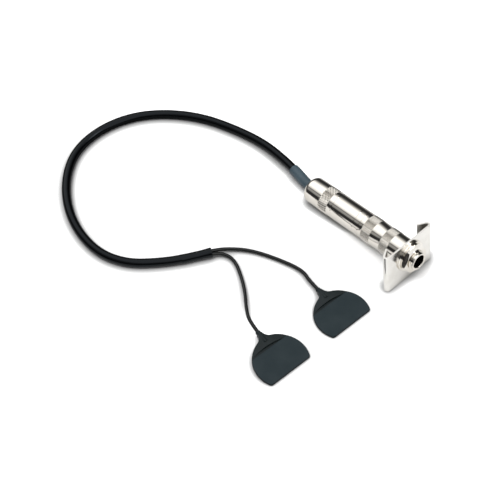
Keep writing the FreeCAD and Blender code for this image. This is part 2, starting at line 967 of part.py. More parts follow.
def neck_outline():
    """The neck in plan, with the webs that flow into the disc."""
    half = value("neck_radius")
    web = value("neck_web")
    radius = value("sensor_radius")
    reach = neck_reach()
    centre_y = half + web
    centre_x = -math.sqrt((radius + web) ** 2 - centre_y ** 2)
    share = radius / (radius + web)
    on_disc = Vector(centre_x * share, centre_y * share, 0)
    on_neck = Vector(centre_x, half, 0)
    middle = Vector(centre_x, centre_y, 0)
    halfway = (on_disc - middle).normalize() + (on_neck - middle).normalize()
    halfway = middle + halfway.normalize() * web

    def mirror(point):
        return Vector(point.x, -point.y, point.z)

    inside = Vector(-sensor_fold(), 0, 0)
    edges = [
        Part.LineSegment(inside, on_disc),
        Part.Arc(on_disc, halfway, on_neck),
        Part.LineSegment(on_neck, Vector(-reach, half, 0)),
        Part.LineSegment(Vector(-reach, half, 0), Vector(-reach, -half, 0)),
        Part.LineSegment(Vector(-reach, -half, 0), mirror(on_neck)),
        Part.Arc(mirror(on_neck), mirror(halfway), mirror(on_disc)),
        Part.LineSegment(mirror(on_disc), inside),
    ]
    face = Part.Face(Part.Wire([edge.toShape() for edge in edges]))
    face.rotate(Vector(0, 0, 0), Vector(0, 0, 1), -value("neck_skew"))
    return face


def neck_direction():
    """The direction from the disc's centre to the neck's mouth."""
    return Rotation(Vector(0, 0, 1), -value("neck_skew")).multVec(Vector(-1, 0, 0))


def behind_groove():
    """The space behind the fold, its front hollowed so that the groove is a thin lens."""
    radius = value("sensor_radius")
    peak = value("mound_peak")
    front = -(sensor_fold() + value("groove_end_width"))
    box = Part.makeBox(2.0 * radius, 4.0 * radius, peak,
                       Vector(front - 2.0 * radius, -2.0 * radius, 0))
    deepest = -(sensor_fold() + value("groove_width"))
    axis = Vector(deepest + value("groove_radius"), -value("groove_shift"), 0)
    return box.cut(Part.makeCylinder(value("groove_radius"), peak, axis))


def sensor_body():
    """The moulded body: a thin shelf, a low mound behind the fold and the neck."""
    shelf_top = value("shelf_thickness")
    disc = half_moon(value("sensor_radius"), value("sensor_chord"), value("sensor_corner"), 0.0)
    shelf = disc.extrude(Vector(0, 0, shelf_top))
    peak = value("mound_peak")
    plan = disc.fuse(neck_outline()).removeSplitter()
    tall = plan.extrude(Vector(0, 0, peak)).common(behind_groove())
    neck_axis = neck_direction()
    centre = neck_axis * (value("sensor_radius") + value("mound_setback"))
    hill = tall.common(Part.makeCone(peak / value("mound_fall"), 0.0, peak, centre))
    tube_start = neck_axis * lead_reach() + Vector(0, 0, neck_height())
    tube_length = neck_reach() - lead_reach()
    tube = Part.makeCylinder(value("neck_radius"), tube_length, tube_start, neck_axis)
    tube = soften_mouth(tube, neck_axis)
    webs = hill.cut(beyond_webs())
    body = shelf.multiFuse([webs, tube]).removeSplitter()
    bore_radius = value("lead_radius") + value("neck_bore_clearance")
    bore = Part.makeCylinder(bore_radius, tube_length, tube_start, neck_axis)
    recess = Part.makeCylinder(recess_radius(), shelf_top - recess_floor(),
                               Vector(element_centre(), 0, recess_floor()))
    return body.cut(bore).cut(recess)


def element_centre():
    """The round element lies midway between the straight edge and the fold."""
    return (value("sensor_chord") - sensor_fold()) / 2.0


def recess_radius():
    """The round recess leaves a wall at the straight edge and in front of the groove."""
    return (value("sensor_chord") + sensor_fold()) / 2.0 - value("element_wall")


def recess_floor():
    """The recess holds the whole element, with a little air under the face plate."""
    layers = ("brass_thickness", "ceramic_thickness", "silver_thickness", "element_cover_gap")
    return value("shelf_thickness") - sum(value(name) for name in layers)


def soften_mouth(tube, axis):
    """Break the outer edge of the neck's mouth."""
    mouth = axis * neck_reach() + Vector(0, 0, neck_height())
    edges = [edge for edge in tube.Edges
             if isinstance(edge.Curve, Part.Circle) and (edge.Curve.Center - mouth).Length < 1e-6]
    return tube.makeChamfer(value("neck_chamfer"), edges)


def beyond_webs():
    """What lies past the webs, where the neck is a plain round tube."""
    start = math.sqrt((value("sensor_radius") + value("neck_web")) ** 2
                      - (value("neck_radius") + value("neck_web")) ** 2)
    width = 4.0 * value("sensor_radius")
    box = Part.makeBox(width, width, width, Vector(-start - width, -width / 2.0, -width / 2.0))
    box.rotate(Vector(0, 0, 0), Vector(0, 0, 1), -value("neck_skew"))
    return box


def sensor_face():
    """The flat face plate, from the fold to the straight edge."""
    inset = value("face_inset")
    level = value("shelf_thickness")
    radius = value("sensor_radius")
    disc = half_moon(radius - inset, value("sensor_chord") - inset, value("sensor_corner"), level)
    plate = disc.extrude(Vector(0, 0, value("face_thickness")))
    front = Part.makeBox(2.0 * radius, 2.0 * radius, value("face_thickness"),
                         Vector(-sensor_fold(), -radius, level))
    plate = plate.common(front)
    top = [edge for edge in plate.Edges
           if edge.Vertexes[0].Z > level + 1e-6 and edge.Vertexes[-1].Z > level + 1e-6]
    return plate.makeFillet(value("face_rounding"), top)


def element_disc(label, radius, thickness, level, place):
    """One layer of the piezo element."""
    disc = DOC.addObject("Part::Cylinder", label)
    disc.Radius = number(radius)
    bind(disc, "Radius", radius)
    disc.Height = value(thickness)
    bind(disc, "Height", dim(thickness))
    disc.Placement = place * Placement(Vector(element_centre(), 0, level), Rotation())
    return disc


def sensor_pieces(index, place):
    """The body, face plate and piezo element of one sensor."""
    prefix = "sensor_%d_" % index
    fold = dim("sensor_radius") - dim("fold_depth")
    brass = (dim("sensor_chord") + fold) / 2.0 - dim("element_wall") - dim("element_clearance")
    brass_floor = recess_floor()
    ceramic_floor = brass_floor + value("brass_thickness")
    silver_floor = ceramic_floor + value("ceramic_thickness")
    return [
        formed(prefix + "body", sensor_body(), place),
        formed(prefix + "face_plate", sensor_face(), place),
        element_disc(prefix + "brass_disc", brass, "brass_thickness", brass_floor, place),
        element_disc(prefix + "ceramic_disc", dim("ceramic_radius"), "ceramic_thickness",
                     ceramic_floor, place),
        element_disc(prefix + "silver_electrode", dim("silver_radius"), "silver_thickness",
                     silver_floor, place),
    ]


def sensor_placement(letter, pitch):
    """A sensor's frame: flat on the table, or tipped up about its straight edge."""
    spot = Vector(value("sensor_%s_x" % letter), value("sensor_%s_y" % letter), 0)
    yaw = Placement(spot, Rotation(Vector(0, 0, 1), value("sensor_%s_yaw" % letter)))
    edge = Vector(value("sensor_chord"), 0, 0)
    tip = Placement(Vector(), Rotation(Vector(0, 1, 0), pitch), edge)
    return yaw * tip


SENSOR_PLACES = (sensor_placement("a", 0.0), sensor_placement("b", value("sensor_b_pitch")))


# Cords: straight runs joined by tangent arcs that are as large as the runs allow.
def cord_start():
    """Where the sleeve and both leads begin, inside the rear shell."""
    return station("shell_end") - dim("cord_grip")


def jacket_points():
    """The sleeve's whole route: straight out of the jack, then along the table."""
    exit_stations = (cord_start().value, station("shell_end").value + value("exit_run"))
    exits = [JACK.multVec(Vector(-distance, 0, 0)) for distance in exit_stations]
    return exits + [Vector(*point) for point in JACKET_ROUTE]


def neck_points(place):
    """A lead's last two points: in front of a sensor's neck and inside it."""
    lift = Vector(0, 0, neck_height())
    reaches = (lead_reach() + value("neck_run"), lead_reach())
    return [place.multVec(neck_direction() * reach + lift) for reach in reaches]


def arc_radius(points, index):
    """The radius at one control point, from its shorter run and its turn."""
    before = points[index] - points[index - 1]
    after = points[index + 1] - points[index]
    turn = before.getAngle(after)
    shorter = min(before.Length, after.Length)
    return value("arc_share") * shorter / math.tan(turn / 2.0), turn


def route_edges(points, label):
    """Straight runs and tangent arcs through a cord's control points."""
    edges = []
    start = points[0]
    radii = []
    for index in range(1, len(points) - 1):
        radius, turn = arc_radius(points, index)
        radii.append(radius)
        before = (points[index - 1] - points[index]).normalize()
        after = (points[index + 1] - points[index]).normalize()
        reach = radius * math.tan(turn / 2.0)
        first = points[index] + before * reach
        last = points[index] + after * reach
        inward = (before + after).normalize()
        middle = points[index] + inward * (radius / math.cos(turn / 2.0) - radius)
        edges.append(Part.LineSegment(start, first).toShape())
        edges.append(Part.Arc(first, middle, last).toShape())
        start = last
    edges.append(Part.LineSegment(start, points[-1]).toShape())
    print("%s: least arc radius %.1f mm, length %.1f mm"
          % (label, min(radii), sum(edge.Length for edge in edges)))
    print("   radii", " ".join("%.0f" % radius for radius in radii))
    return edges


def tube_along(edges, radius):
    """A round solid along a chain of runs and arcs."""
    path = Part.Wire(edges)
    start = edges[0].Vertexes[0].Point
    heading = edges[0].tangentAt(edges[0].FirstParameter)
    ring = Part.Wire([Part.Circle(start, heading, radius).toShape()])
    solid = path.makePipeShell([ring], True, True)
    expected = math.pi * radius ** 2 * path.Length
    if abs(solid.Volume / expected - 1.0) > 0.01:
        raise ValueError("tube volume %.1f, expected %.1f" % (solid.Volume, expected))
    return solid


def cable_jacket():
    """The black sleeve that both leads run through."""
    edges = route_edges(jacket_points(), "cable_jacket")
    outer = tube_along(edges, value("jacket_radius"))
    return formed("cable_jacket", outer.cut(tube_along(edges, value("jacket_bore_radius"))))


def lead(label, lift, tail, place):
    """One sensor lead, from the jack's crimp through the sleeve to its sensor."""
    shared = [point + Vector(0, 0, lift) for point in jacket_points()[:-1]]
    points = shared + [Vector(*point) for point in tail] + neck_points(place)
    return formed(label, tube_along(route_edges(points, label), value("lead_radius")))


def heat_shrink_boot():
    """The shrunk tube over the sleeve's first stretch, gripped by the rear shell."""
    exit_line, bend, run = route_edges(jacket_points(), "heat_shrink_boot")[:3]
    grip = station("shell_end") - dim("shell_end_wall") - dim("boot_grip")
    start = JACK.multVec(Vector(-grip.value, 0, 0))
    first = Part.LineSegment(start, exit_line.Vertexes[-1].Point).toShape()
    chain = [first, bend, run]
    outer = tube_along(chain, value("boot_radius"))
    return formed("heat_shrink_boot", outer.cut(tube_along(chain, value("boot_bore_radius"))))


def build():
    """Every piece of the pickup, in assembly order."""
    pieces = [
        front_barrel(),
        collar_ring(),
        middle_barrel(),
        rear_shell(),
        insulator_front(),
        insulator_rear(),
        tip_spring(),
        ground_strap(),
        stack_rivets(),
        stack_retainer(),
        insulating_liner(),
        signal_wire(),
        shield_wire(),
        bracket(),
        flat_washer(),
        lock_washer(),
        hex_nut(),
        heat_shrink_boot(),
        cable_jacket(),
        lead("lead_1", value("lead_offset"), LEAD_A_TAIL, SENSOR_PLACES[0]),
        lead("lead_2", -value("lead_offset"), LEAD_B_TAIL, SENSOR_PLACES[1]),
    ]
    for index, place in enumerate(SENSOR_PLACES, 1):
        pieces += sensor_pieces(index, place)
    return pieces


def export(pieces):
    """Check every object of the document, then write each piece to its own file."""
    DOC.recompute()
    for thing in DOC.Objects:
        if "Invalid" in thing.State or "Error" in thing.State:
            raise RuntimeError("%s failed to build" % thing.Label)
    for piece in pieces:
        if piece.Shape.isNull() or not piece.Shape.isValid():
            raise RuntimeError("%s has no valid shape" % piece.Label)
    os.makedirs(OUTPUT_FOLDER, exist_ok=True)
    for piece in pieces:
        piece.Shape.exportStep(os.path.join(OUTPUT_FOLDER, piece.Label + ".step"))
        box = piece.Shape.BoundBox
        print("%-26s solids %d volume %9.2f  x %.2f %.2f  y %.2f %.2f  z %.2f %.2f" % (
            piece.Label, len(piece.Shape.Solids), piece.Shape.Volume,
            box.XMin, box.XMax, box.YMin, box.YMax, box.ZMin, box.ZMax))


export(build())
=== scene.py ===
"""Looks, cords, light and camera of the piezo pickup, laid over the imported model.

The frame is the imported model's own: +X runs along the table from the cable end of the
jack to its mouth, +Y across it and +Z up. Outlines and routes are written in millimetres
and become metres through MM. The barrel pieces are turned again here with their knurls
and thread. The other solids keep their shape and get their finish.
"""

from __future__ import annotations

import json
import logging
import math
from dataclasses import dataclass, field
from enum import Enum
from typing import Callable, Iterable, Sequence, Tuple

import bmesh
import bpy
from mathutils import Matrix, Vector

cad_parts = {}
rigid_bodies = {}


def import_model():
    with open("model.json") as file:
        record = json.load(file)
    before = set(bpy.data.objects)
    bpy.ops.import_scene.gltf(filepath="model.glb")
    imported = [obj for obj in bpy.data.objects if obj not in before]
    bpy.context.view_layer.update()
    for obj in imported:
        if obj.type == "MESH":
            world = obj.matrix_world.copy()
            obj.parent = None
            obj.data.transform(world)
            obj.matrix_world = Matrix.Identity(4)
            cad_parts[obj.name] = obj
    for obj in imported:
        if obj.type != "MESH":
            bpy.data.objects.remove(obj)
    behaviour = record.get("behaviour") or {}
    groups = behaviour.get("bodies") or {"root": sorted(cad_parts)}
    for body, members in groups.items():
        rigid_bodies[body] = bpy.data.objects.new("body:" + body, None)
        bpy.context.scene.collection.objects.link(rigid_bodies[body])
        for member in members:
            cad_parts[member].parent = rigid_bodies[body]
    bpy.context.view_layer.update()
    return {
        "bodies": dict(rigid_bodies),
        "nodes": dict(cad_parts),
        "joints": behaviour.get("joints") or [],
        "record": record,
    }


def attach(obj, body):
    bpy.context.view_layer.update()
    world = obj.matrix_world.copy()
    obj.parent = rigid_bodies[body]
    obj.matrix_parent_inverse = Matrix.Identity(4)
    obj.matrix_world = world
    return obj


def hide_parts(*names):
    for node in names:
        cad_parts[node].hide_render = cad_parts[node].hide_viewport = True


LOG = logging.getLogger("piezo_pickup")
MM = 0.001
BODY = "root"
PIT_SHADE_LAYER = "pit_shade"
# Painted shade: the colour that a knurl's pits are darkened towards.
PIT_SHADE_COLOUR = (0.02, 0.019, 0.018, 1.0)

Point = Tuple[float, float, float]
Corner = Tuple[float, float]


@dataclass(frozen=True)
class JackAxis:
    """The jack's own axes: station along the barrel, then across, then up.

    Attributes:
        base: The middle of the bracket's front face, in millimetres.
        tilt: How far the mouth looks up, in radians.
    """

    base: Point = (28.17, 36.76, 13.625)
    tilt: float = math.radians(7.0484)

    def matrix(self) -> Matrix:
        """Returns: the matrix from millimetres on the jack's axes to metres in the frame."""
        return (
            Matrix.Translation(Vector(self.base) * MM)
            @ Matrix.Rotation(-self.tilt, 4, "Y")
            @ Matrix.Scale(MM, 4)
        )


AXIS = JackAxis()


# Node graphs


class Graph:
    """A small writer for node trees: it makes nodes and joins their sockets.

    Attributes:
        tree: The node tree that it writes to.
    """

    def __init__(self, tree: bpy.types.NodeTree) -> None:
        self.tree = tree

    def node(self, kind: str, **settings: object) -> bpy.types.Node:
        """Makes a node.

        Args:
            kind: The node's type without its "ShaderNode" start.
            settings: Properties to set on it.

        Returns:
            The new node.
        """
        made = self.tree.nodes.new(kind if kind.startswith("NodeGroup") else "ShaderNode" + kind)
        for name, value in settings.items():
            setattr(made, name, value)
        return made

    def put(self, socket: bpy.types.NodeSocket, value: object) -> None:
        """Joins a socket to an output, or sets its own value.

        Args:
            socket: The input.
            value: An output socket, or a plain value.
        """
        if isinstance(value, bpy.types.NodeSocket):
            self.tree.links.new(value, socket)
        else:
            socket.default_value = value

    def math(self, operation: str, *values: object) -> bpy.types.NodeSocket:
        """Makes a Math node.

        Args:
            operation: The node's operation.
            values: Its inputs, sockets or numbers.

        Returns:
            Its output.
        """
        made = self.node("Math", operation=operation)
        for socket, value in zip(made.inputs, values):
            self.put(socket, value)
        return made.outputs[0]

    def noise(
        self, vector: object, scale: object, detail: float, rough: float = 0.5
    ) -> bpy.types.NodeSocket:
        """Makes a Noise texture.

        Args:
            vector: Where it is read.
            scale: Its scale.
            detail: Its number of octaves.
            rough: How much the fine octaves weigh.

        Returns:
            Its value, from 0 to 1.
        """
        made = self.node("TexNoise")
        self.put(made.inputs["Vector"], vector)
        self.put(made.inputs["Scale"], scale)
        made.inputs["Detail"].default_value = detail
        made.inputs["Roughness"].default_value = rough
        return made.outputs[0]

    def spread(
        self, value: object, low: object, high: object, to_low: object, to_high: object
    ) -> bpy.types.NodeSocket:
        """Maps a range to another one, smoothly and clamped.

        Args:
            value: What is mapped.
            low: The range's start.
            high: The range's end.
            to_low: The result at the start.
            to_high: The result at the end.

        Returns:
            The mapped value.
        """
        made = self.node("MapRange", interpolation_type="SMOOTHSTEP")
        names = ("Value", "From Min", "From Max", "To Min", "To Max")
        for name, item in zip(names, (value, low, high, to_low, to_high)):
            self.put(made.inputs[name], item)
        return made.outputs[0]

    def blend(self, share: object, first: object, second: object) -> bpy.types.NodeSocket:
        """Mixes two colours.

        Args:
            share: How much of the second there is.
            first: The first colour.
            second: The second colour.

        Returns:
            The mixed colour.
        """
        made = self.node("Mix", data_type="RGBA")
        self.put(made.inputs[0], share)
        self.put(made.inputs[6], first)
        self.put(made.inputs[7], second)
        return made.outputs[2]

    def bump(self, height: object, strength: object, distance: float) -> bpy.types.NodeSocket:
        """Turns a height into a normal.

        Args:
            height: The height, from 0 to 1.
            strength: How much of it is used.
            distance: The height's real size in metres.

        Returns:
            The bent normal.
        """
        made = self.node("Bump")
        self.put(made.inputs["Height"], height)
        self.put(made.inputs["Strength"], strength)
        made.inputs["Distance"].default_value = distance
        return made.outputs[0]


class Effect(Enum):
    """The shared surface effects, each one a node group."""

    TURNED = "turned_rings"
    BRUSHED = "brushed_plate"
    MOULDED = "moulded_grain"
    DRAWN = "drawn_tube"


def group_shell(effect: Effect) -> Tuple[bpy.types.NodeTree, Graph, bpy.types.Node, bpy.types.Node]:
    """Makes an effect's empty group with its named sockets.

    Args:
        effect: The effect.

    Returns:
        The group, its graph writer, its input node and its output node.
    """
    tree = bpy.data.node_groups.new(effect.value, "ShaderNodeTree")
    taken = (("Vector", "NodeSocketVector"), ("Scale", "NodeSocketFloat"), ("Strength", "NodeSocketFloat"))
    given = (("Mask", "NodeSocketFloat"), ("Patches", "NodeSocketFloat"), ("Normal", "NodeSocketVector"))
    for name, kind in taken:
        tree.interface.new_socket(name=name, in_out="INPUT", socket_type=kind)
    for name, kind in given:
        tree.interface.new_socket(name=name, in_out="OUTPUT", socket_type=kind)
    graph = Graph(tree)
    return tree, graph, graph.node("NodeGroupInput"), graph.node("NodeGroupOutput")


def turned_rings() -> bpy.types.NodeTree:
    """Fine tool rings round the jack's axis, with faint handling patches.

    Returns:
        The node group.
    """
    tree, graph, given, result = group_shell(Effect.TURNED)
    along = graph.node("VectorMath", operation="DOT_PRODUCT")
    graph.put(along.inputs[0], given.outputs["Vector"])
    along.inputs[1].default_value = (math.cos(AXIS.tilt), 0.0, math.sin(AXIS.tilt))
    line = graph.node("CombineXYZ")
    graph.put(line.inputs[0], along.outputs["Value"])
    rings = graph.noise(line.outputs[0], given.outputs["Scale"], 3.0, 0.7)
    patches = graph.noise(given.outputs["Vector"], 140.0, 4.0, 0.6)
    graph.put(result.inputs["Mask"], rings)
    graph.put(result.inputs["Patches"], patches)
    graph.put(result.inputs["Normal"], graph.bump(rings, given.outputs["Strength"], 0.00002))
    return tree


def brushed_plate() -> bpy.types.NodeTree:
    """Short upright grain of a satin plated sheet, with faint patches.

    Returns:
        The node group.
    """
    tree, graph, given, result = group_shell(Effect.BRUSHED)
    stretch = graph.node("Mapping")
    graph.put(stretch.inputs["Vector"], given.outputs["Vector"])
    stretch.inputs["Scale"].default_value = (1.0, 1.0, 0.04)
    grain = graph.noise(stretch.outputs[0], given.outputs["Scale"], 4.0, 0.65)
    patches = graph.noise(given.outputs["Vector"], 170.0, 3.0, 0.55)
    graph.put(result.inputs["Mask"], grain)
    graph.put(result.inputs["Patches"], patches)
    graph.put(result.inputs["Normal"], graph.bump(grain, given.outputs["Strength"], 0.00003))
    return tree


def moulded_grain() -> bpy.types.NodeTree:
    """The fine even grain of moulded or dipped plastic.

    Returns:
        The node group.
    """
    tree, graph, given, result = group_shell(Effect.MOULDED)
    grain = graph.noise(given.outputs["Vector"], given.outputs["Scale"], 3.0, 0.6)
    patches = graph.noise(given.outputs["Vector"], 110.0, 3.0, 0.5)
    graph.put(result.inputs["Mask"], grain)
    graph.put(result.inputs["Patches"], patches)
    graph.put(result.inputs["Normal"], graph.bump(grain, given.outputs["Strength"], 0.00005))
    return tree


def drawn_tube() -> bpy.types.NodeTree:
    """Faint long waves and dust of an extruded jacket.

    Returns:
        The node group.
    """
    tree, graph, given, result = group_shell(Effect.DRAWN)
    waves = graph.noise(given.outputs["Vector"], given.outputs["Scale"], 2.0, 0.5)
    patches = graph.noise(given.outputs["Vector"], 900.0, 4.0, 0.7)
    graph.put(result.inputs["Mask"], waves)
    graph.put(result.inputs["Patches"], patches)
    graph.put(result.inputs["Normal"], graph.bump(waves, given.outputs["Strength"], 0.00008))
    return tree


EFFECT_MAKERS: dict[Effect, Callable[[], bpy.types.NodeTree]] = {
    Effect.TURNED: turned_rings,
    Effect.BRUSHED: brushed_plate,
    Effect.MOULDED: moulded_grain,
    Effect.DRAWN: drawn_tube,
}


@dataclass(frozen=True)
class Finish:
    """How a surface looks.

    Attributes:
        name: The material's name.
        light: Its colour where it is clean, linear.
        dark: Its colour in the patches, linear.
        rough: Its lowest and highest roughness.
        effect: The shared effect that gives its grain.
        scale: The grain's scale.
        strength: The grain's strength.
        metallic: 1 for a metal.
        specular: The shader's specular level.
        tint: The colour of its highlights.
        pit_shade: How much painted shade darkens the pressed pits of a knurl.
    """

    name: str
    light: Point
    dark: Point
    rough: Tuple[float, float]
    effect: Effect
    scale: float
    strength: float
    metallic: float = 0.0
    specular: float = 0.5
    tint: Point = (1.0, 1.0, 1.0)
    pit_shade: float = 0.0

    def material(self, groups: dict[Effect, bpy.types.NodeTree]) -> bpy.types.Material:
        """Builds the material.

        Args:
            groups: The shared effects.

        Returns:
            The new material.
        """
        made = bpy.data.materials.new(self.name)
        made.use_nodes = True
        made.diffuse_color = (*self.light, 1.0)
        graph = Graph(made.node_tree)
        shader = made.node_tree.nodes["Principled BSDF"]
        shader.inputs["Metallic"].default_value = self.metallic
        shader.inputs["Specular IOR Level"].default_value = self.specular
        shader.inputs["Specular Tint"].default_value = (*self.tint, 1.0)
        place = graph.node("TexCoord")
        shared = graph.node("Group")
        shared.node_tree = groups[self.effect]
        graph.put(shared.inputs["Vector"], place.outputs["Object"])
        shared.inputs["Scale"].default_value = self.scale
        shared.inputs["Strength"].default_value = self.strength
        share = graph.spread(shared.outputs["Patches"], 0.35, 0.7, 0.0, 1.0)
        colour = graph.blend(share, (*self.light, 1.0), (*self.dark, 1.0))
        # Painted shade in a knurl's pits: the layer that Knurl.press fills darkens the base colour.
        if self.pit_shade:
            shaded_pits = graph.node("Attribute", attribute_name=PIT_SHADE_LAYER)
            depth = graph.math("MULTIPLY", graph.math("POWER", shaded_pits.outputs["Fac"], 1.2), self.pit_shade)
            colour = graph.blend(depth, colour, PIT_SHADE_COLOUR)
        graph.put(shader.inputs["Base Color"], colour)
        graph.put(shader.inputs["Roughness"], graph.spread(shared.outputs["Mask"], 0.3, 0.7, *self.rough))
        graph.put(shader.inputs["Normal"], shared.outputs["Normal"])
        return made


FINISHES: dict[str, Finish] = {
    finish.name: finish
    for finish in (
        Finish(
            "polished_nickel",
            light=(0.70, 0.67, 0.615),
            dark=(0.64, 0.607, 0.55),
            rough=(0.04, 0.09),
            effect=Effect.TURNED,
            scale=9000.0,
            strength=0.12,
            metallic=1.0,
        ),
        Finish(
            "satin_nickel",
            light=(0.77, 0.755, 0.72),
            dark=(0.70, 0.68, 0.64),
            rough=(0.16, 0.24),
            effect=Effect.BRUSHED,
            scale=6000.0,
            strength=0.2,
            metallic=1.0,
        ),
        Finish(
            "nickel_hardware",
            light=(0.80, 0.775, 0.73),
            dark=(0.62, 0.58, 0.51),
            rough=(0.03, 0.08),
            effect=Effect.TURNED,
            scale=7000.0,
            strength=0.2,
            metallic=1.0,
        ),
        Finish(
            "phenolic",
            light=(0.052, 0.021, 0.009),
            dark=(0.028, 0.012, 0.006),
            rough=(0.45, 0.6),
            effect=Effect.MOULDED,
            scale=2500.0,
            strength=0.3,
        ),
        Finish(
            "spring_brass",
            light=(0.62, 0.43, 0.16),
            dark=(0.5, 0.33, 0.11),
            rough=(0.16, 0.28),
            effect=Effect.BRUSHED,
            scale=5000.0,
            strength=0.2,
            metallic=1.0,
        ),
        Finish(
            "retainer_steel",
            light=(0.42, 0.42, 0.41),
            dark=(0.33, 0.33, 0.32),
            rough=(0.25, 0.38),
            effect=Effect.TURNED,
            scale=6000.0,
            strength=0.3,
            metallic=1.0,
        ),
        Finish(
            "liner_paper",
            light=(0.29, 0.18, 0.075),
            dark=(0.2, 0.12, 0.05),
            rough=(0.6, 0.8),
            effect=Effect.MOULDED,
            scale=3000.0,
            strength=0.4,
        ),
        Finish(
            "white_insulation",
            light=(0.74, 0.74, 0.7),
            dark=(0.66, 0.66, 0.62),
            rough=(0.3, 0.42),
            effect=Effect.DRAWN,
            scale=800.0,
            strength=0.2,
        ),
        Finish(
            "black_insulation",
            light=(0.009, 0.009, 0.01),
            dark=(0.014, 0.014, 0.015),
            rough=(0.3, 0.42),
            effect=Effect.DRAWN,
            scale=800.0,
            strength=0.2,
        ),
        Finish(
            "jacket_plastic",
            light=(0.0004, 0.0004, 0.0005),
            dark=(0.0008, 0.0009, 0.001),
            rough=(0.12, 0.2),
            effect=Effect.DRAWN,
            scale=420.0,
            strength=0.25,
            specular=0.17,
            tint=(0.8, 0.9, 1.0),
        ),
        Finish(
            "boot_plastic",
            light=(0.036, 0.056, 0.07),
            dark=(0.028, 0.045, 0.057),
            rough=(0.42, 0.55),
            effect=Effect.MOULDED,
            scale=1800.0,
            strength=0.5,
            specular=0.35,
        ),
        Finish(
            "lead_plastic",
            light=(0.0015, 0.002, 0.002),
            dark=(0.0025, 0.0032, 0.0032),
            rough=(0.14, 0.22),
            effect=Effect.DRAWN,
            scale=700.0,
            strength=0.3,
            specular=0.3,
        ),
        Finish(
            "sensor_plastic",
            light=(0.003, 0.0062, 0.0068),
            dark=(0.005, 0.0085, 0.0095),
            rough=(0.42, 0.56),
            effect=Effect.MOULDED,
            scale=2600.0,
            strength=0.45,
            specular=0.22,
        ),
        Finish(
            "face_plastic",
            light=(0.007, 0.0135, 0.0165),
            dark=(0.0105, 0.0175, 0.0205),
            rough=(0.45, 0.6),
            effect=Effect.MOULDED,
            scale=2200.0,
            strength=0.5,
            specular=0.2,
        ),
        Finish(
            "element_brass",
            light=(0.6, 0.42, 0.16),
            dark=(0.46, 0.31, 0.12),
            rough=(0.2, 0.32),
            effect=Effect.BRUSHED,
            scale=5000.0,
            strength=0.2,
            metallic=1.0,
        ),
        Finish(
            "element_ceramic",
            light=(0.62, 0.57, 0.46),
            dark=(0.5, 0.46, 0.37),
            rough=(0.45, 0.6),
            effect=Effect.MOULDED,
            scale=3500.0,
            strength=0.3,
        ),
        Finish(
            "element_silver",
            light=(0.72, 0.71, 0.68),
            dark=(0.6, 0.59, 0.56),
            rough=(0.28, 0.42),
            effect=Effect.MOULDED,
            scale=4000.0,
            strength=0.3,
            metallic=1.0,
        ),
        Finish(
            "knurled_nickel",
            light=(0.86, 0.83, 0.765),
            dark=(0.80, 0.765, 0.70),
            rough=(0.75, 0.88),
            effect=Effect.TURNED,
            scale=9000.0,
            strength=0.1,
            metallic=0.15,
            pit_shade=0.9,
        ),
        # Painted shade inside the bore: darkened nickel. The seams' bevels take it too, as dark joints.
        Finish(
            "bore_nickel",
            light=(0.09, 0.085, 0.075),
            dark=(0.05, 0.047, 0.042),
            rough=(0.3, 0.5),
            effect=Effect.TURNED,
            scale=5000.0,
            strength=0.4,
            metallic=1.0,
        ),
    )
}


class FinishShop:
    """Builds each finish once and hands it to whoever asks.

    Attributes:
        groups: The shared effects.
        made: The materials so far.
    """

    def __init__(self) -> None:
        self.groups = {effect: maker() for effect, maker in EFFECT_MAKERS.items()}
        self.made: dict[str, bpy.types.Material] = {}

    def get(self, name: str) -> bpy.types.Material:
        """Gives the material of a finish.

        Args:
            name: The finish's name.

        Returns:
            The material.
        """
        if name not in self.made:
            self.made[name] = FINISHES[name].material(self.groups)
        return self.made[name]

    def dress(self, thing: bpy.types.Object, *names: str) -> None:
        """Gives an object its material slots.

        Args:
            thing: The object.
            names: The finishes, one for each slot.
        """
        thing.data.materials.clear()
        for name in names:
            thing.data.materials.append(self.get(name))


# Turned pieces


def rounded(centre: Corner, radius: float, start: float, end: float, steps: int) -> list[Corner]:
    """Corners of an outline along an arc.

    Args:
        centre: The arc's middle, station and radius.
        radius: The arc's radius.
        start: Its first angle in degrees, from the station's direction.
        end: Its last angle.
        steps: How many corners follow the first.

    Returns:
        The corners.
    """
    turn = [math.radians(start + (end - start) * k / steps) for k in range(steps + 1)]
    return [(centre[0] + radius * math.cos(t), centre[1] + radius * math.sin(t)) for t in turn]


def spun(outline: Sequence[Corner], steps: int) -> bmesh.types.BMesh:
    """Spins a closed outline round the jack's axis.

    Args:
        outline: Stations and radii in millimetres.
        steps: How many faces go round.

    Returns:
        The mesh, in millimetres on the jack's axes.
    """
    mesh = bmesh.new()
    ring = [mesh.verts.new((station, 0.0, radius)) for station, radius in outline]
    edges = [mesh.edges.new(pair) for pair in zip(ring, ring[1:] + ring[:1])]
    bmesh.ops.spin(
        mesh,
        geom=ring + edges,
        cent=(0.0, 0.0, 0.0),
        axis=(1.0, 0.0, 0.0),
        angle=math.tau,
        steps=steps,
        use_merge=True,
    )
    bmesh.ops.recalc_face_normals(mesh, faces=mesh.faces)
    return mesh


def finished(name: str, mesh: bmesh.types.BMesh, place: Matrix, sharp: float = 28.0) -> bpy.types.Object:
    """Makes an object of a mesh and links it.

    Args:
        name: The object's name.
        mesh: Its mesh, which is freed.
        place: Where it goes.
        sharp: Edges that turn by more than this many degrees stay sharp.

    Returns:
        The new object, at the origin and unscaled.
    """
    bmesh.ops.transform(mesh, matrix=place, verts=mesh.verts)
    limit = math.radians(sharp)
    for face in mesh.faces:
        face.smooth = True
    for edge in mesh.edges:
        edge.smooth = len(edge.link_faces) == 2 and edge.calc_face_angle(0.0) < limit
    data = bpy.data.meshes.new(name)
    mesh.to_mesh(data)
    mesh.free()
    made = bpy.data.objects.new(name, data)
    bpy.context.scene.collection.objects.link(made)
    return made


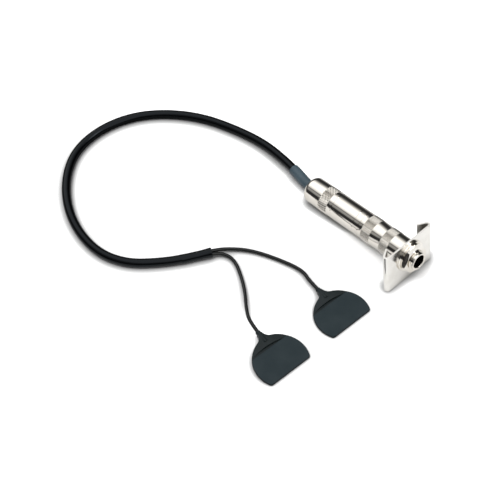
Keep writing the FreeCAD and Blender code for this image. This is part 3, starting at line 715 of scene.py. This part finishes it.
@dataclass(frozen=True)
class Knurl:
    """A diamond knurl on a band of a barrel.

    Attributes:
        start: The band's station nearest to the mouth, as a depth behind the bracket's face.
        length: How long it is.
        rows: How many half diamonds go along it.
        top: The radius of the diamonds' points.
        depth: How deep the grooves are.
        slope: How long the bevel at each end of the band is.
        shade: How much painted shade the grooves' pits take, from 0 to 1.
    """

    start: float
    length: float
    rows: int
    top: float = 6.45
    depth: float = 0.2
    slope: float = 0.1
    shade: float = 1.0

    def outline(self, low: float) -> list[Corner]:
        """The band's part of the barrel's outline.

        Args:
            low: The barrel's radius.

        Returns:
            Corners from the front to the rear.
        """
        first, last = self.start + self.slope, self.start + self.length - self.slope
        rows = [(-(first + (last - first) * k / self.rows), self.top) for k in range(self.rows + 1)]
        return [(-self.start, low), *rows, (-(self.start + self.length), low)]

    def press(self, mesh: bmesh.types.BMesh, steps: int) -> list[bmesh.types.BMFace]:
        """Presses the grooves into a spun barrel and marks its pits for painted shade.

        Args:
            mesh: The spun mesh, in millimetres on the jack's axes.
            steps: How many faces go round it.

        Returns:
            The diamonds' faces.
        """
        first = self.start + self.slope
        pitch = (self.length - 2 * self.slope) / self.rows
        layers = mesh.verts.layers.float
        pit_shade = layers.get(PIT_SHADE_LAYER) or layers.new(PIT_SHADE_LAYER)
        low = []
        for vert in mesh.verts:
            radius = math.hypot(vert.co.y, vert.co.z)
            row = (-vert.co.x - first) / pitch
            if abs(radius - self.top) > 1e-4 or not -0.01 < row < self.rows + 0.01:
                continue
            column = round(math.atan2(vert.co.y, vert.co.z) / math.tau * steps)
            if (column + round(row)) % 2:
                low.append(vert)
        faces = {face for vert in low for face in vert.link_faces}
        made = bmesh.ops.connect_verts(mesh, verts=low)
        faces.update(face for edge in made["edges"] for face in edge.link_faces)
        for vert in low:
            radius = math.hypot(vert.co.y, vert.co.z)
            share = (radius - self.depth) / radius
            vert.co.y *= share
            vert.co.z *= share
            # How much painted shade this pit takes.
            vert[pit_shade] = self.shade
        return [face for face in faces if face.is_valid]


class Slot(Enum):
    """The material slots of a turned piece, in order, each with its finish."""

    SHINE = "polished_nickel"
    # Painted shade inside the bore. The seams' dark bevels use this slot too.
    SHADED_BORE_AND_SEAMS = "bore_nickel"
    KNURL = "knurled_nickel"

    @property
    def index(self) -> int:
        """Returns: the slot's number on the piece."""
        return list(Slot).index(self)


@dataclass
class TurnedPiece:
    """A barrel piece: an outline that is spun, with its knurls.

    Attributes:
        name: The node that it stands for.
        outline: Its closed outline, stations and radii in millimetres.
        knurls: Its knurled bands.
        steps: How many faces go round.
        bore: The radius under which faces take the dark finish that paints shade inside the bore.
        seams: The stations of its seams, whose bevels take that finish too.
        seam_reach: How far from a seam's station its bevels' middles lie at most.
    """

    name: str
    outline: list[Corner]
    knurls: Tuple[Knurl, ...] = ()
    steps: int = 128
    bore: float = 0.0
    seams: Tuple[float, ...] = ()
    seam_reach: float = 0.29

    def in_seam(self, station: float) -> bool:
        """Tells whether a face lies in a seam's bevel.

        Args:
            station: The middle of the face.

        Returns:
            Whether it does.
        """
        return any(abs(station - seam) < self.seam_reach for seam in self.seams)

    def build(self, shop: FinishShop) -> bpy.types.Object:
        """Builds the piece.

        Args:
            shop: Where the finishes come from.

        Returns:
            The new object.
        """
        mesh = spun(self.outline, self.steps)
        for knurl in self.knurls:
            for face in knurl.press(mesh, self.steps):
                face.material_index = Slot.KNURL.index
        for face in mesh.faces:
            middle = face.calc_center_median()
            # Faces inside the bore get painted shade. Seam bevels get the same dark finish.
            if math.hypot(middle.y, middle.z) < self.bore or self.in_seam(middle.x):
                face.material_index = Slot.SHADED_BORE_AND_SEAMS.index
        made = finished(self.name + "_turned", mesh, AXIS.matrix())
        shop.dress(made, *(slot.value for slot in Slot))
        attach(made, BODY)
        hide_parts(self.name)
        return made


@dataclass
class Jack:
    """The turned barrel of the jack, from its threaded nose to its dome.

    Stations count towards the mouth from the bracket's front face, so what lies behind it
    is negative. All sizes are in millimetres.

    Attributes:
        radius: The barrel's radius.
        seam: The small bevel at each seam.
        nose_end: The station of the nose's mouth.
        nose_radius: The nose's radius under its thread.
        nose_bore: The radius of the nose's bore at its mouth.
        shoulder: The station of the front barrel's face, behind the bracket.
        collar_front: The station where the lock ring starts.
        collar_rear: The station where it ends.
        shell_front: The station where the rear shell starts.
        dome_end: The station of the dome's end.
        dome: The radius of the dome's edge.
        cable_hole: The radius of the hole that the cable leaves through.
        seat: The inner radius of the ring and of the middle barrel at the front joint.
        spigot: The radius of the front barrel's spigot, inside the ring.
        spigot_end: The station where that spigot ends.
        spigot_bore: The radius of its bore.
        chamber: The radius of the hollow behind the nose.
        chamber_front: The station where the hollow starts.
        chamber_rear: The station where it opens into the spigot's bore.
        socket: The radius of the bore that takes the plug.
        tail: The radius of the middle barrel's spigot, inside the rear shell.
        tail_end: The station where that spigot ends.
        cavity: The inner radius of the middle barrel and of the rear shell.
        cavity_front: The station where the middle barrel's cavity starts.
        shell_seat: The inner radius of the rear shell at its joint.
        shell_stop: The station where that seat ends.
        shell_floor: The station of the dome's inside.
        pieces: What has been built.
    """

    radius: float = 6.35
    seam: float = 0.28
    nose_end: float = 5.65
    nose_radius: float = 4.36
    nose_bore: float = 3.53
    shoulder: float = -0.9
    collar_front: float = -26.9
    collar_rear: float = -30.1
    shell_front: float = -44.0
    dome_end: float = -62.4
    dome: float = 2.9
    cable_hole: float = 2.6
    seat: float = 5.85
    spigot: float = 5.8
    spigot_end: float = -33.2
    spigot_bore: float = 5.0
    chamber: float = 4.6
    chamber_front: float = -10.0
    chamber_rear: float = -27.0
    socket: float = 3.28
    tail: float = 5.7
    tail_end: float = -49.0
    cavity: float = 5.1
    cavity_front: float = -33.5
    shell_seat: float = 5.75
    shell_stop: float = -49.3
    shell_floor: float = -58.6
    pieces: list[bpy.types.Object] = field(default_factory=list)

    def front(self) -> TurnedPiece:
        """Returns: the front barrel with its nose, two knurls and bore."""
        r, c = self.radius, self.seam
        near = Knurl(8.5, 4.9, 16, depth=0.13, shade=0.4)
        far = Knurl(19.25, 5.35, 18, depth=0.13, shade=0.4)
        end, nose = self.nose_end, self.nose_radius
        face, joint = self.shoulder, self.collar_front
        outline = [
            (end, self.nose_bore), (end, nose - 0.06), (end - 0.03, nose - 0.03), (end - 0.35, nose),
            (face, nose), (face, r - c), (face - c, r),
            *near.outline(r), *far.outline(r),
            (joint + c, r), (joint, r - c), (joint, self.spigot),
            (self.spigot_end, self.spigot), (self.spigot_end, self.spigot_bore),
            (self.chamber_rear, self.spigot_bore), (self.chamber_rear, self.chamber),
            (self.chamber_front, self.chamber), (self.chamber_front, self.socket),
            (end - 0.25, self.socket), (end - 0.1, self.socket + 0.08),
        ]
        return TurnedPiece("front_barrel", outline, (near, far), steps=144, bore=4.1, seams=(joint,))

    def collar(self) -> TurnedPiece:
        """Returns: the thin lock ring."""
        r, c = self.radius, self.seam
        front, rear = self.collar_front, self.collar_rear
        outline = [
            (front, self.seat), (front, r - c), (front - c, r),
            (rear + c, r), (rear, r - c), (rear, self.seat),
        ]
        return TurnedPiece("collar_ring", outline, seams=(front, rear))

    def middle(self) -> TurnedPiece:
        """Returns: the plain middle barrel."""
        r, c = self.radius, self.seam
        front, rear = self.collar_rear, self.shell_front
        outline = [
            (front, self.seat), (front, r - c), (front - c, r),
            (rear + c, r), (rear, r - c), (rear, self.tail),
            (self.tail_end, self.tail), (self.tail_end, self.cavity),
            (self.cavity_front, self.cavity), (self.cavity_front, self.seat),
        ]
        return TurnedPiece("middle_barrel", outline, seams=(front,))

    def shell(self) -> TurnedPiece:
        """Returns: the domed and knurled rear shell."""
        r, c, dome = self.radius, self.seam, self.dome
        front, end, hole = self.shell_front, self.dome_end, self.cable_hole
        knurl = Knurl(46.4, 5.4, 10, depth=0.24)
        outline = [
            (front, self.shell_seat), (front, r - c), (front - c, r),
            *knurl.outline(r),
            *rounded((end + dome, r - dome), dome, 90.0, 180.0, 14),
            (end, hole), (self.shell_floor, hole), (self.shell_floor, self.cavity),
            (self.shell_stop, self.cavity), (self.shell_stop, self.shell_seat),
        ]
        return TurnedPiece("rear_shell", outline, (knurl,), steps=80)

    def thread(self, shop: FinishShop) -> bpy.types.Object:
        """Winds the nose's thread.

        Args:
            shop: Where the finishes come from.

        Returns:
            The ridge, which sits on the nose's core.
        """
        pitch, turns, steps, start = 0.794, 3, 72, 2.95
        root, crest, fade = 4.3, 4.69, 5.2
        mesh = bmesh.new()
        ridge = ((-0.46, root), (-0.06, crest), (0.06, crest), (0.46, root))
        section = [mesh.verts.new((start + x * pitch, 0.0, z)) for x, z in ridge]
        rim = [mesh.edges.new(pair) for pair in zip(section, section[1:] + section[:1])]
        bmesh.ops.spin(
            mesh,
            geom=section + rim,
            cent=(0.0, 0.0, 0.0),
            axis=(1.0, 0.0, 0.0),
            dvec=(pitch / steps, 0.0, 0.0),
            angle=math.tau * turns,
            steps=steps * turns,
        )
        bmesh.ops.holes_fill(mesh, edges=[edge for edge in mesh.edges if edge.is_boundary], sides=6)
        bmesh.ops.recalc_face_normals(mesh, faces=mesh.faces)
        for vert in mesh.verts:
            radius = math.hypot(vert.co.y, vert.co.z)
            limit = min(crest, crest - (vert.co.x - fade))
            if radius > limit:
                vert.co.y *= limit / radius
                vert.co.z *= limit / radius
        made = finished("nose_thread", mesh, AXIS.matrix(), sharp=40.0)
        shop.dress(made, "polished_nickel")
        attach(made, BODY)
        return made

    def build(self, shop: FinishShop) -> list[bpy.types.Object]:
        """Builds all of the jack's turned pieces.

        Args:
            shop: Where the finishes come from.

        Returns:
            The pieces, from the nose to the dome, and the thread.
        """
        for piece in (self.front(), self.collar(), self.middle(), self.shell()):
            self.pieces.append(piece.build(shop))
        self.pieces.append(self.thread(shop))
        return self.pieces


# Cords

EXIT: Tuple[Point, ...] = (
    (-22.941, 36.76, 7.306),
    (-29.888, 36.76, 6.447),
    (-36.835, 36.95, 5.588),
    (-43.2, 38.5, 4.98),
)
ROUTE: Tuple[Point, ...] = EXIT + (
    (-54.29, 40.53, 3.9),
    (-70.03, 41.34, 2.7),
    (-86.69, 37.63, 2.2),
    (-103.41, 31.03, 2.2),
    (-117.71, 19.8, 2.2),
    (-127.45, 5.86, 2.2),
    (-131.3, -10.6, 2.2),
    (-129.09, -26.95, 2.2),
    (-119.92, -40.48, 2.2),
    (-106.22, -51.21, 2.2),
    (-90.5, -57.41, 2.2),
    (-74.15, -58.37, 2.2),
    (-61.08, -52.62, 2.2),
    (-51.83, -42.05, 2.2),
    (-45.3, -32.2, 2.3),
)
MOUTH: Point = (-39.5, -20.9, 2.6)
UPPER_TAIL: Tuple[Point, ...] = (
    (-42.9, -26.2, 3.1),
    (-40.35, -20.5, 2.6),
    (-37.0, -14.2, 1.8),
    (-29.59, -6.67, 1.1),
    (-18.29, -1.17, 0.95),
    (-4.92, 3.12, 1.1),
    (2.042, 0.818, 1.45),
    (13.505, -0.104, 1.45),
)
LOWER_TAIL: Tuple[Point, ...] = (
    (-41.6, -26.8, 1.75),
    (-38.65, -21.35, 2.6),
    (-35.9, -16.9, 1.7),
    (-30.07, -15.39, 1.1),
    (-21.75, -19.11, 1.0),
    (-13.59, -24.26, 1.7),
    (-5.89, -30.81, 3.6),
    (1.535, -35.658, 4.834),
    (12.912, -36.637, 3.475),
)


@dataclass
class Strand:
    """A cord: a smooth spline with a round section.

    Attributes:
        node: The node that it stands for.
        route: Its control points, in millimetres.
        radius: Its radius, in millimetres.
        finish: Its finish.
        capped: Whether its ends are closed.
    """

    node: str
    route: Sequence[Point]
    radius: float
    finish: str
    capped: bool = True

    def curve(self, name: str, bevel: float) -> bpy.types.Object:
        """Makes the spline's curve.

        Args:
            name: The object's name.
            bevel: The section's radius in metres, 0 for the bare line.

        Returns:
            The curve's object, not yet linked.
        """
        data = bpy.data.curves.new(name, "CURVE")
        data.dimensions = "3D"
        data.resolution_u = 16
        data.bevel_depth = bevel
        data.bevel_resolution = 7
        data.use_fill_caps = self.capped
        spline = data.splines.new("NURBS")
        spline.points.add(len(self.route) - 1)
        for knot, spot in zip(spline.points, self.route):
            knot.co = (*(Vector(spot) * MM), 1.0)
        spline.order_u = 3
        spline.use_endpoint_u = True
        return bpy.data.objects.new(name, data)

    def line(self) -> list[Vector]:
        """Returns: the points of the bare spline, in metres."""
        bare = self.curve(self.node + "_line", 0.0)
        bpy.context.scene.collection.objects.link(bare)
        bpy.context.view_layer.update()
        data = bpy.data.meshes.new_from_object(bare)
        points = [vert.co.copy() for vert in data.vertices]
        bpy.data.meshes.remove(data)
        shape = bare.data
        bpy.data.objects.remove(bare)
        bpy.data.curves.remove(shape)
        return points

    def build(self, shop: FinishShop) -> bpy.types.Object:
        """Builds the cord.

        Args:
            shop: Where the finishes come from.

        Returns:
            The new curve.
        """
        made = self.curve(self.node + "_cord", self.radius * MM)
        bpy.context.scene.collection.objects.link(made)
        shop.dress(made, self.finish)
        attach(made, BODY)
        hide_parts(self.node)
        return made


@dataclass
class Cabling:
    """The jacket with its boot and mouth, and the two leads that run through it.

    Attributes:
        jacket_radius: The jacket's radius, in millimetres.
        jacket_length: Its real length, in metres; not used.
        lead_radius: A lead's radius, in millimetres.
        lead_lengths: The leads' real lengths, in metres.
        lead_lift: How far one lead lies above the jacket's middle, and the other one below.
        boot_start: Where the boot starts along the jacket's line, in millimetres.
        boot_end: How far it reaches.
        boot_narrow: Its radius in the dome's mouth.
        boot_wide: Its radius behind the dome.
        boot_step: The share of its length where it starts to widen.
        boot_growth: The share of its length that the widening takes.
        boot_rim: The share of its length where its end starts to roll in.
        boot_roll: How much its end is rolled in.
    """

    jacket_radius: float = 2.15
    jacket_length: float = 0.2696
    lead_radius: float = 0.85
    lead_lengths: Tuple[float, float] = (0.3324, 0.3302)
    lead_lift: float = 0.95
    boot_start: float = 6.1
    boot_end: float = 25.3
    boot_narrow: float = 2.42
    boot_wide: float = 2.62
    boot_step: float = 0.3
    boot_growth: float = 0.15
    boot_rim: float = 0.985
    boot_roll: float = 0.12

    def boot_radius(self, share: float) -> float:
        """Gives the boot's radius: narrow in the dome's mouth, wide behind it, rolled in at its end.

        Args:
            share: How far along the boot.

        Returns:
            The radius in millimetres.
        """
        grown = min(max((share - self.boot_step) / self.boot_growth, 0.0), 1.0)
        wide = self.boot_narrow + (self.boot_wide - self.boot_narrow) * grown * grown * (3.0 - 2.0 * grown)
        return wide if share < self.boot_rim else wide - self.boot_roll

    def boot(self, shop: FinishShop, line: Sequence[Vector]) -> bpy.types.Object:
        """Shrinks the boot onto the jacket.

        Args:
            shop: Where the finishes come from.
            line: The jacket's line.

        Returns:
            The boot.
        """
        part = clipped(line, self.boot_start * MM, self.boot_end * MM)
        mesh = tube(part, self.boot_radius, 40)
        made = finished("boot_sleeve", mesh, Matrix.Identity(4), sharp=50.0)
        shop.dress(made, "boot_plastic")
        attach(made, BODY)
        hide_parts("heat_shrink_boot")
        return made

    def mouth(self, shop: FinishShop, line: Sequence[Vector]) -> bpy.types.Object:
        """Flares the jacket's open end.

        Args:
            shop: Where the finishes come from.
            line: The jacket's line.

        Returns:
            The lip.
        """
        end = line[-1]
        along = (line[-1] - line[-2]).normalized()
        outside = [(-14.0, 2.1), (-7.0, 2.16), (-3.5, 2.22), (-1.2, 2.32), (-0.35, 2.4), (-0.05, 2.42)]
        inside = [(0.06, 2.36), (0.04, 2.24), (-0.3, 2.1), (-1.2, 1.98), (-3.5, 1.93), (-14.0, 1.9)]
        turn = along.to_track_quat("X", "Z").to_matrix().to_4x4()
        mesh = spun(outside + inside, 48)
        place = Matrix.Translation(end) @ turn @ Matrix.Scale(MM, 4)
        made = finished("jacket_mouth", mesh, place, sharp=50.0)
        shop.dress(made, "jacket_plastic")
        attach(made, BODY)
        return made

    def build(self, shop: FinishShop) -> list[bpy.types.Object]:
        """Builds all cords.

        Args:
            shop: Where the finishes come from.

        Returns:
            The jacket, the pieces on it and the leads.
        """
        jacket = Strand("cable_jacket", ROUTE + (MOUTH,), self.jacket_radius, "jacket_plastic", capped=False)
        line = jacket.line()
        cover = jacket.build(shop)
        extras = [self.boot(shop, line), self.mouth(shop, line)]
        leads = []
        sides = ((self.lead_lift, UPPER_TAIL), (-self.lead_lift, LOWER_TAIL))
        for number, ((lift, tail), length) in enumerate(zip(sides, self.lead_lengths), start=1):
            route = tuple((x, y, z + lift) for x, y, z in ROUTE) + tail
            lead = Strand(f"lead_{number}", route, self.lead_radius, "lead_plastic").build(shop)
            leads.append(lead)
        return [cover, *extras, *leads]


def clipped(line: Sequence[Vector], start: float, end: float) -> list[Vector]:
    """Keeps the part of a line between two distances along it.

    Args:
        line: The line's points.
        start: The first distance in metres.
        end: The last distance.

    Returns:
        The part's points.
    """
    kept: list[Vector] = []
    run = 0.0
    for here, there in zip(line, line[1:]):
        step = (there - here).length
        for limit in (start, end):
            if run <= limit < run + step:
                kept.append(here.lerp(there, (limit - run) / step))
        run += step
        if start < run < end:
            kept.append(there.copy())
    return kept


def tube(line: Sequence[Vector], radius_at: Callable[[float], float], sides: int) -> bmesh.types.BMesh:
    """Skins a closed tube over a line.

    Args:
        line: The line's points in metres.
        radius_at: The radius in millimetres at a share of the line.
        sides: How many faces go round.

    Returns:
        The mesh in metres.
    """
    mesh = bmesh.new()
    loops = []
    last = len(line) - 1
    for index, spot in enumerate(line):
        ahead = (line[min(index + 1, last)] - line[max(index - 1, 0)]).normalized()
        place = Matrix.Translation(spot) @ ahead.to_track_quat("Z", "Y").to_matrix().to_4x4()
        radius = radius_at(index / last) * MM
        made = bmesh.ops.create_circle(mesh, cap_ends=False, segments=sides, radius=radius, matrix=place)
        loops.append({edge for vert in made["verts"] for edge in vert.link_edges})
    for first, second in zip(loops, loops[1:]):
        bmesh.ops.bridge_loops(mesh, edges=list(first | second))
    bmesh.ops.holes_fill(mesh, edges=[edge for edge in mesh.edges if edge.is_boundary], sides=0)
    bmesh.ops.recalc_face_normals(mesh, faces=mesh.faces)
    return mesh


# Stage


# Light round the jack's axis: degrees from the +Y horizon over the top, and level
ROOM: Tuple[Tuple[float, float], ...] = (
    (-180.0, 0.02),
    (0.0, 0.03),
    (30.0, 0.04),
    (44.0, 0.28),
    (53.0, 0.85),
    (61.0, 1.35),
    (70.0, 1.75),
    (108.0, 1.75),
    (120.0, 1.2),
    (128.0, 0.7),
    (131.0, 0.1),
    (133.5, 0.1),
    (136.0, 0.44),
    (152.0, 0.38),
    (157.0, 0.015),
    (180.0, 0.01),
)


@dataclass(frozen=True)
class Studio:
    """Camera, floor and light.

    Attributes:
        eye: The camera's place, in metres.
        aim: What it looks at.
        lens: Its focal length in millimetres.
        floor_colour: The floor's colour, linear.
        mirrored: How bright the painted reflection of the floor is beside the jack, as a share of the
            floor's colour.
        faded: How bright that painted reflection is far away.
        middle: Where the painted reflection is brightest, across the jack, in metres.
        bright: How far from there it stays bright.
        reach: How far from there it has gone dark.
        rear: How far behind the frame's middle the painted reflection starts to fade.
        rear_fade: How much faster than sideways it fades there.
        front: How far before the frame's middle the painted reflection starts to grow brighter.
        front_gain: How fast it grows brighter from there.
        contact: How far the painted contact shadow reaches beside a thing, in metres.
        contact_low: The floor's share of light in the deepest painted contact shadow.
        contact_power: How fast that painted shadow fades.
        lamp: The power of the wide lamp, in watts.
        lamp_place: Where it hangs, in metres.
        lamp_look: The way it looks.
        lamp_size: How wide it is.
        edge: The power of the small lamp, in watts.
        edge_place: Where it hangs.
        edge_look: The way it looks.
        edge_size: How wide it is.
        dim: The colour of the room near its horizon.
        white: What the camera sees behind the floor.
    """

    eye: Point = (0.26611, -0.28504, 0.54544)
    aim: Point = (-0.03129, -0.00584, 0.00014)
    lens: float = 108.2
    floor_colour: float = 0.93
    mirrored: float = 0.72
    faded: float = 0.04
    middle: float = -0.073
    bright: float = 0.08
    reach: float = 0.22
    rear: float = 0.03
    rear_fade: float = 2.0
    front: float = 0.02
    front_gain: float = 4.0
    contact: float = 0.0036
    contact_low: float = 0.3
    contact_power: float = 4.0
    lamp: float = 6.2
    lamp_place: Point = (-0.06, -0.32, 0.85)
    lamp_look: Point = (0.0, 0.32, -0.85)
    lamp_size: float = 0.42
    edge: float = 0.8
    edge_place: Point = (0.34, 0.35, 0.6)
    edge_look: Point = (-0.4, -0.36, -0.6)
    edge_size: float = 0.2
    dim: Tuple[float, ...] = (0.04, 0.04, 0.043, 1.0)
    white: Tuple[float, ...] = (1.2, 1.2, 1.2, 1.0)

    def camera(self) -> None:
        """Places the camera at the photograph's angle."""
        data = bpy.data.cameras.new("camera")
        data.lens = self.lens
        data.sensor_width = 36.0
        data.clip_start, data.clip_end = 0.01, 20.0
        made = bpy.data.objects.new("camera", data)
        made.location = self.eye
        made.rotation_mode = "QUATERNION"
        made.rotation_quaternion = (Vector(self.aim) - Vector(self.eye)).to_track_quat("-Z", "Y")
        bpy.context.scene.collection.objects.link(made)
        bpy.context.scene.camera = made

    def floor_shade(self, graph: Graph) -> bpy.types.NodeSocket:
        """Paints light and shade into the floor's colour: a painted contact shadow beside things, and a
        painted reflection that fades away in mirrors.

        Args:
            graph: The floor's node graph.

        Returns:
            A factor on the floor's colour.
        """
        place = graph.node("TexCoord")
        # Painted contact shadow: ambient occlusion darkens the floor's colour beside things.
        beside = graph.node("AmbientOcclusion", samples=12)
        beside.inputs["Distance"].default_value = self.contact
        seen = graph.node("LightPath")
        depth = graph.spread(seen.outputs["Is Glossy Ray"], 0.0, 1.0, self.contact_power, 1.0)
        shade = graph.math("POWER", beside.outputs["AO"], depth)
        contact_shadow = graph.math("MULTIPLY_ADD", shade, 1.0 - self.contact_low, self.contact_low)
        # Painted reflection: in mirrors the floor's colour darkens away from the jack and stays bright
        # before it.
        axes = graph.node("SeparateXYZ")
        graph.put(axes.inputs[0], place.outputs["Object"])
        behind = graph.math("MINIMUM", graph.math("ADD", axes.outputs[0], self.rear), 0.0)
        spot = graph.node("CombineXYZ")
        graph.put(spot.inputs[0], graph.math("MULTIPLY", behind, self.rear_fade))
        graph.put(spot.inputs[1], graph.math("SUBTRACT", axes.outputs[1], self.middle))
        away = graph.node("VectorMath", operation="LENGTH")
        graph.put(away.inputs[0], spot.outputs[0])
        ahead = graph.math("MAXIMUM", graph.math("SUBTRACT", axes.outputs[0], self.front), 0.0)
        distance = graph.math("MULTIPLY_ADD", ahead, -self.front_gain, away.outputs["Value"])
        fading = graph.node("MapRange")
        fading.inputs["From Min"].default_value = self.bright
        fading.inputs["From Max"].default_value = self.reach
        fading.inputs["To Min"].default_value = self.mirrored
        fading.inputs["To Max"].default_value = self.faded
        graph.put(fading.inputs["Value"], distance)
        factor = graph.node("Mix", data_type="FLOAT")
        graph.put(factor.inputs[0], seen.outputs["Is Glossy Ray"])
        factor.inputs[2].default_value = 1.0
        graph.put(factor.inputs[3], fading.outputs[0])
        return graph.math("MULTIPLY", contact_shadow, factor.outputs[0])

    def floor(self) -> None:
        """Lays the pale floor, with its painted contact shadow and painted reflection."""
        mesh = bmesh.new()
        bmesh.ops.create_grid(mesh, x_segments=4, y_segments=4, size=4.0)
        made = finished("floor", mesh, Matrix.Identity(4))
        material = bpy.data.materials.new("pale_floor")
        material.use_nodes = True
        graph = Graph(material.node_tree)
        shader = material.node_tree.nodes["Principled BSDF"]
        shader.inputs["Roughness"].default_value = 0.9
        shader.inputs["Specular IOR Level"].default_value = 0.0
        shade = graph.math("MULTIPLY", self.floor_shade(graph), self.floor_colour)
        tone = graph.node("CombineColor")
        for socket in tone.inputs[:3]:
            graph.put(socket, shade)
        graph.put(shader.inputs["Base Color"], tone.outputs[0])
        made.data.materials.append(material)

    def disk_lamp(
        self, name: str, place: Point, look: Point, size: float, power: float
    ) -> bpy.types.Object:
        """Hangs a round lamp.

        Args:
            name: The lamp's name.
            place: Where it hangs, in metres.
            look: The way it looks.
            size: How wide it is, in metres.
            power: Its power in watts.

        Returns:
            The lamp's object.
        """
        data = bpy.data.lights.new(name, "AREA")
        data.shape = "DISK"
        data.size = size
        data.energy = power
        made = bpy.data.objects.new(name, data)
        made.location = place
        made.rotation_mode = "QUATERNION"
        made.rotation_quaternion = Vector(look).to_track_quat("-Z", "Y")
        bpy.context.scene.collection.objects.link(made)
        return made

    def overhead(self) -> None:
        """Hangs the wide soft lamp over the near side, which no mirror sees."""
        made = self.disk_lamp("overhead", self.lamp_place, self.lamp_look, self.lamp_size, self.lamp)
        made.visible_glossy = False

    def edge_lamp(self) -> None:
        """Hangs the small lamp to the right, which draws a highlight along the cords."""
        self.disk_lamp("edge_lamp", self.edge_place, self.edge_look, self.edge_size, self.edge)

    def light(self) -> None:
        """Lights the scene with a long softbox overhead in a dim room."""
        world = bpy.data.worlds.new("studio")
        world.use_nodes = True
        bpy.context.scene.world = world
        graph = Graph(world.node_tree)
        shade = world.node_tree.nodes["Background"]
        place = graph.node("TexCoord")
        rise = graph.node("VectorMath", operation="DOT_PRODUCT")
        graph.put(rise.inputs[0], place.outputs["Generated"])
        rise.inputs[1].default_value = (-math.sin(AXIS.tilt), 0.0, math.cos(AXIS.tilt))
        axes = graph.node("SeparateXYZ")
        graph.put(axes.inputs[0], place.outputs["Generated"])
        turn = graph.math("ARCTAN2", rise.outputs["Value"], axes.outputs[1])
        ramp = graph.node("ValToRGB")
        graph.put(ramp.inputs[0], graph.math("MULTIPLY_ADD", turn, 1.0 / math.tau, 0.5))
        stops = ramp.color_ramp.elements
        while len(stops) < len(ROOM):
            stops.new(0.5)
        for stop, (angle, level) in zip(stops, ROOM):
            stop.position = angle / 360.0 + 0.5
            stop.color = (level, level, level, 1.0)
        low = graph.spread(axes.outputs[2], 0.05, 0.5, 0.04, 1.0)
        room = graph.blend(low, self.dim, ramp.outputs[0])
        seen = graph.node("LightPath")
        mix = graph.blend(seen.outputs["Is Camera Ray"], room, self.white)
        graph.put(shade.inputs["Color"], mix)
        bpy.context.scene.view_settings.view_transform = "Standard"

    def build(self) -> None:
        """Sets the whole stage."""
        self.camera()
        self.floor()
        self.overhead()
        self.edge_lamp()
        self.light()


@dataclass
class Pickup:
    """The whole object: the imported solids' finishes, the jack and the cords.

    Attributes:
        shop: Where the finishes come from.
    """

    shop: FinishShop
    frame: dict

    def dress_solids(self) -> None:
        """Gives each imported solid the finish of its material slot."""
        for part in self.frame["record"]["subparts"]:
            node = self.frame["nodes"].get(part["node"])
            if node is not None:
                self.shop.dress(node, part["material_slot"])

    def build(self) -> list[bpy.types.Object]:
        """Builds and dresses everything.

        Returns:
            The new pieces.
        """
        self.dress_solids()
        return [*Cabling().build(self.shop), *Jack().build(self.shop)]


def main() -> None:
    """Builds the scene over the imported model."""
    logging.basicConfig(level=logging.INFO, format="%(name)s: %(message)s")
    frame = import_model()
    Studio().build()
    for piece in Pickup(FinishShop(), frame).build():
        LOG.info("built %s", piece.name)


if __name__ == "__main__":
    main()
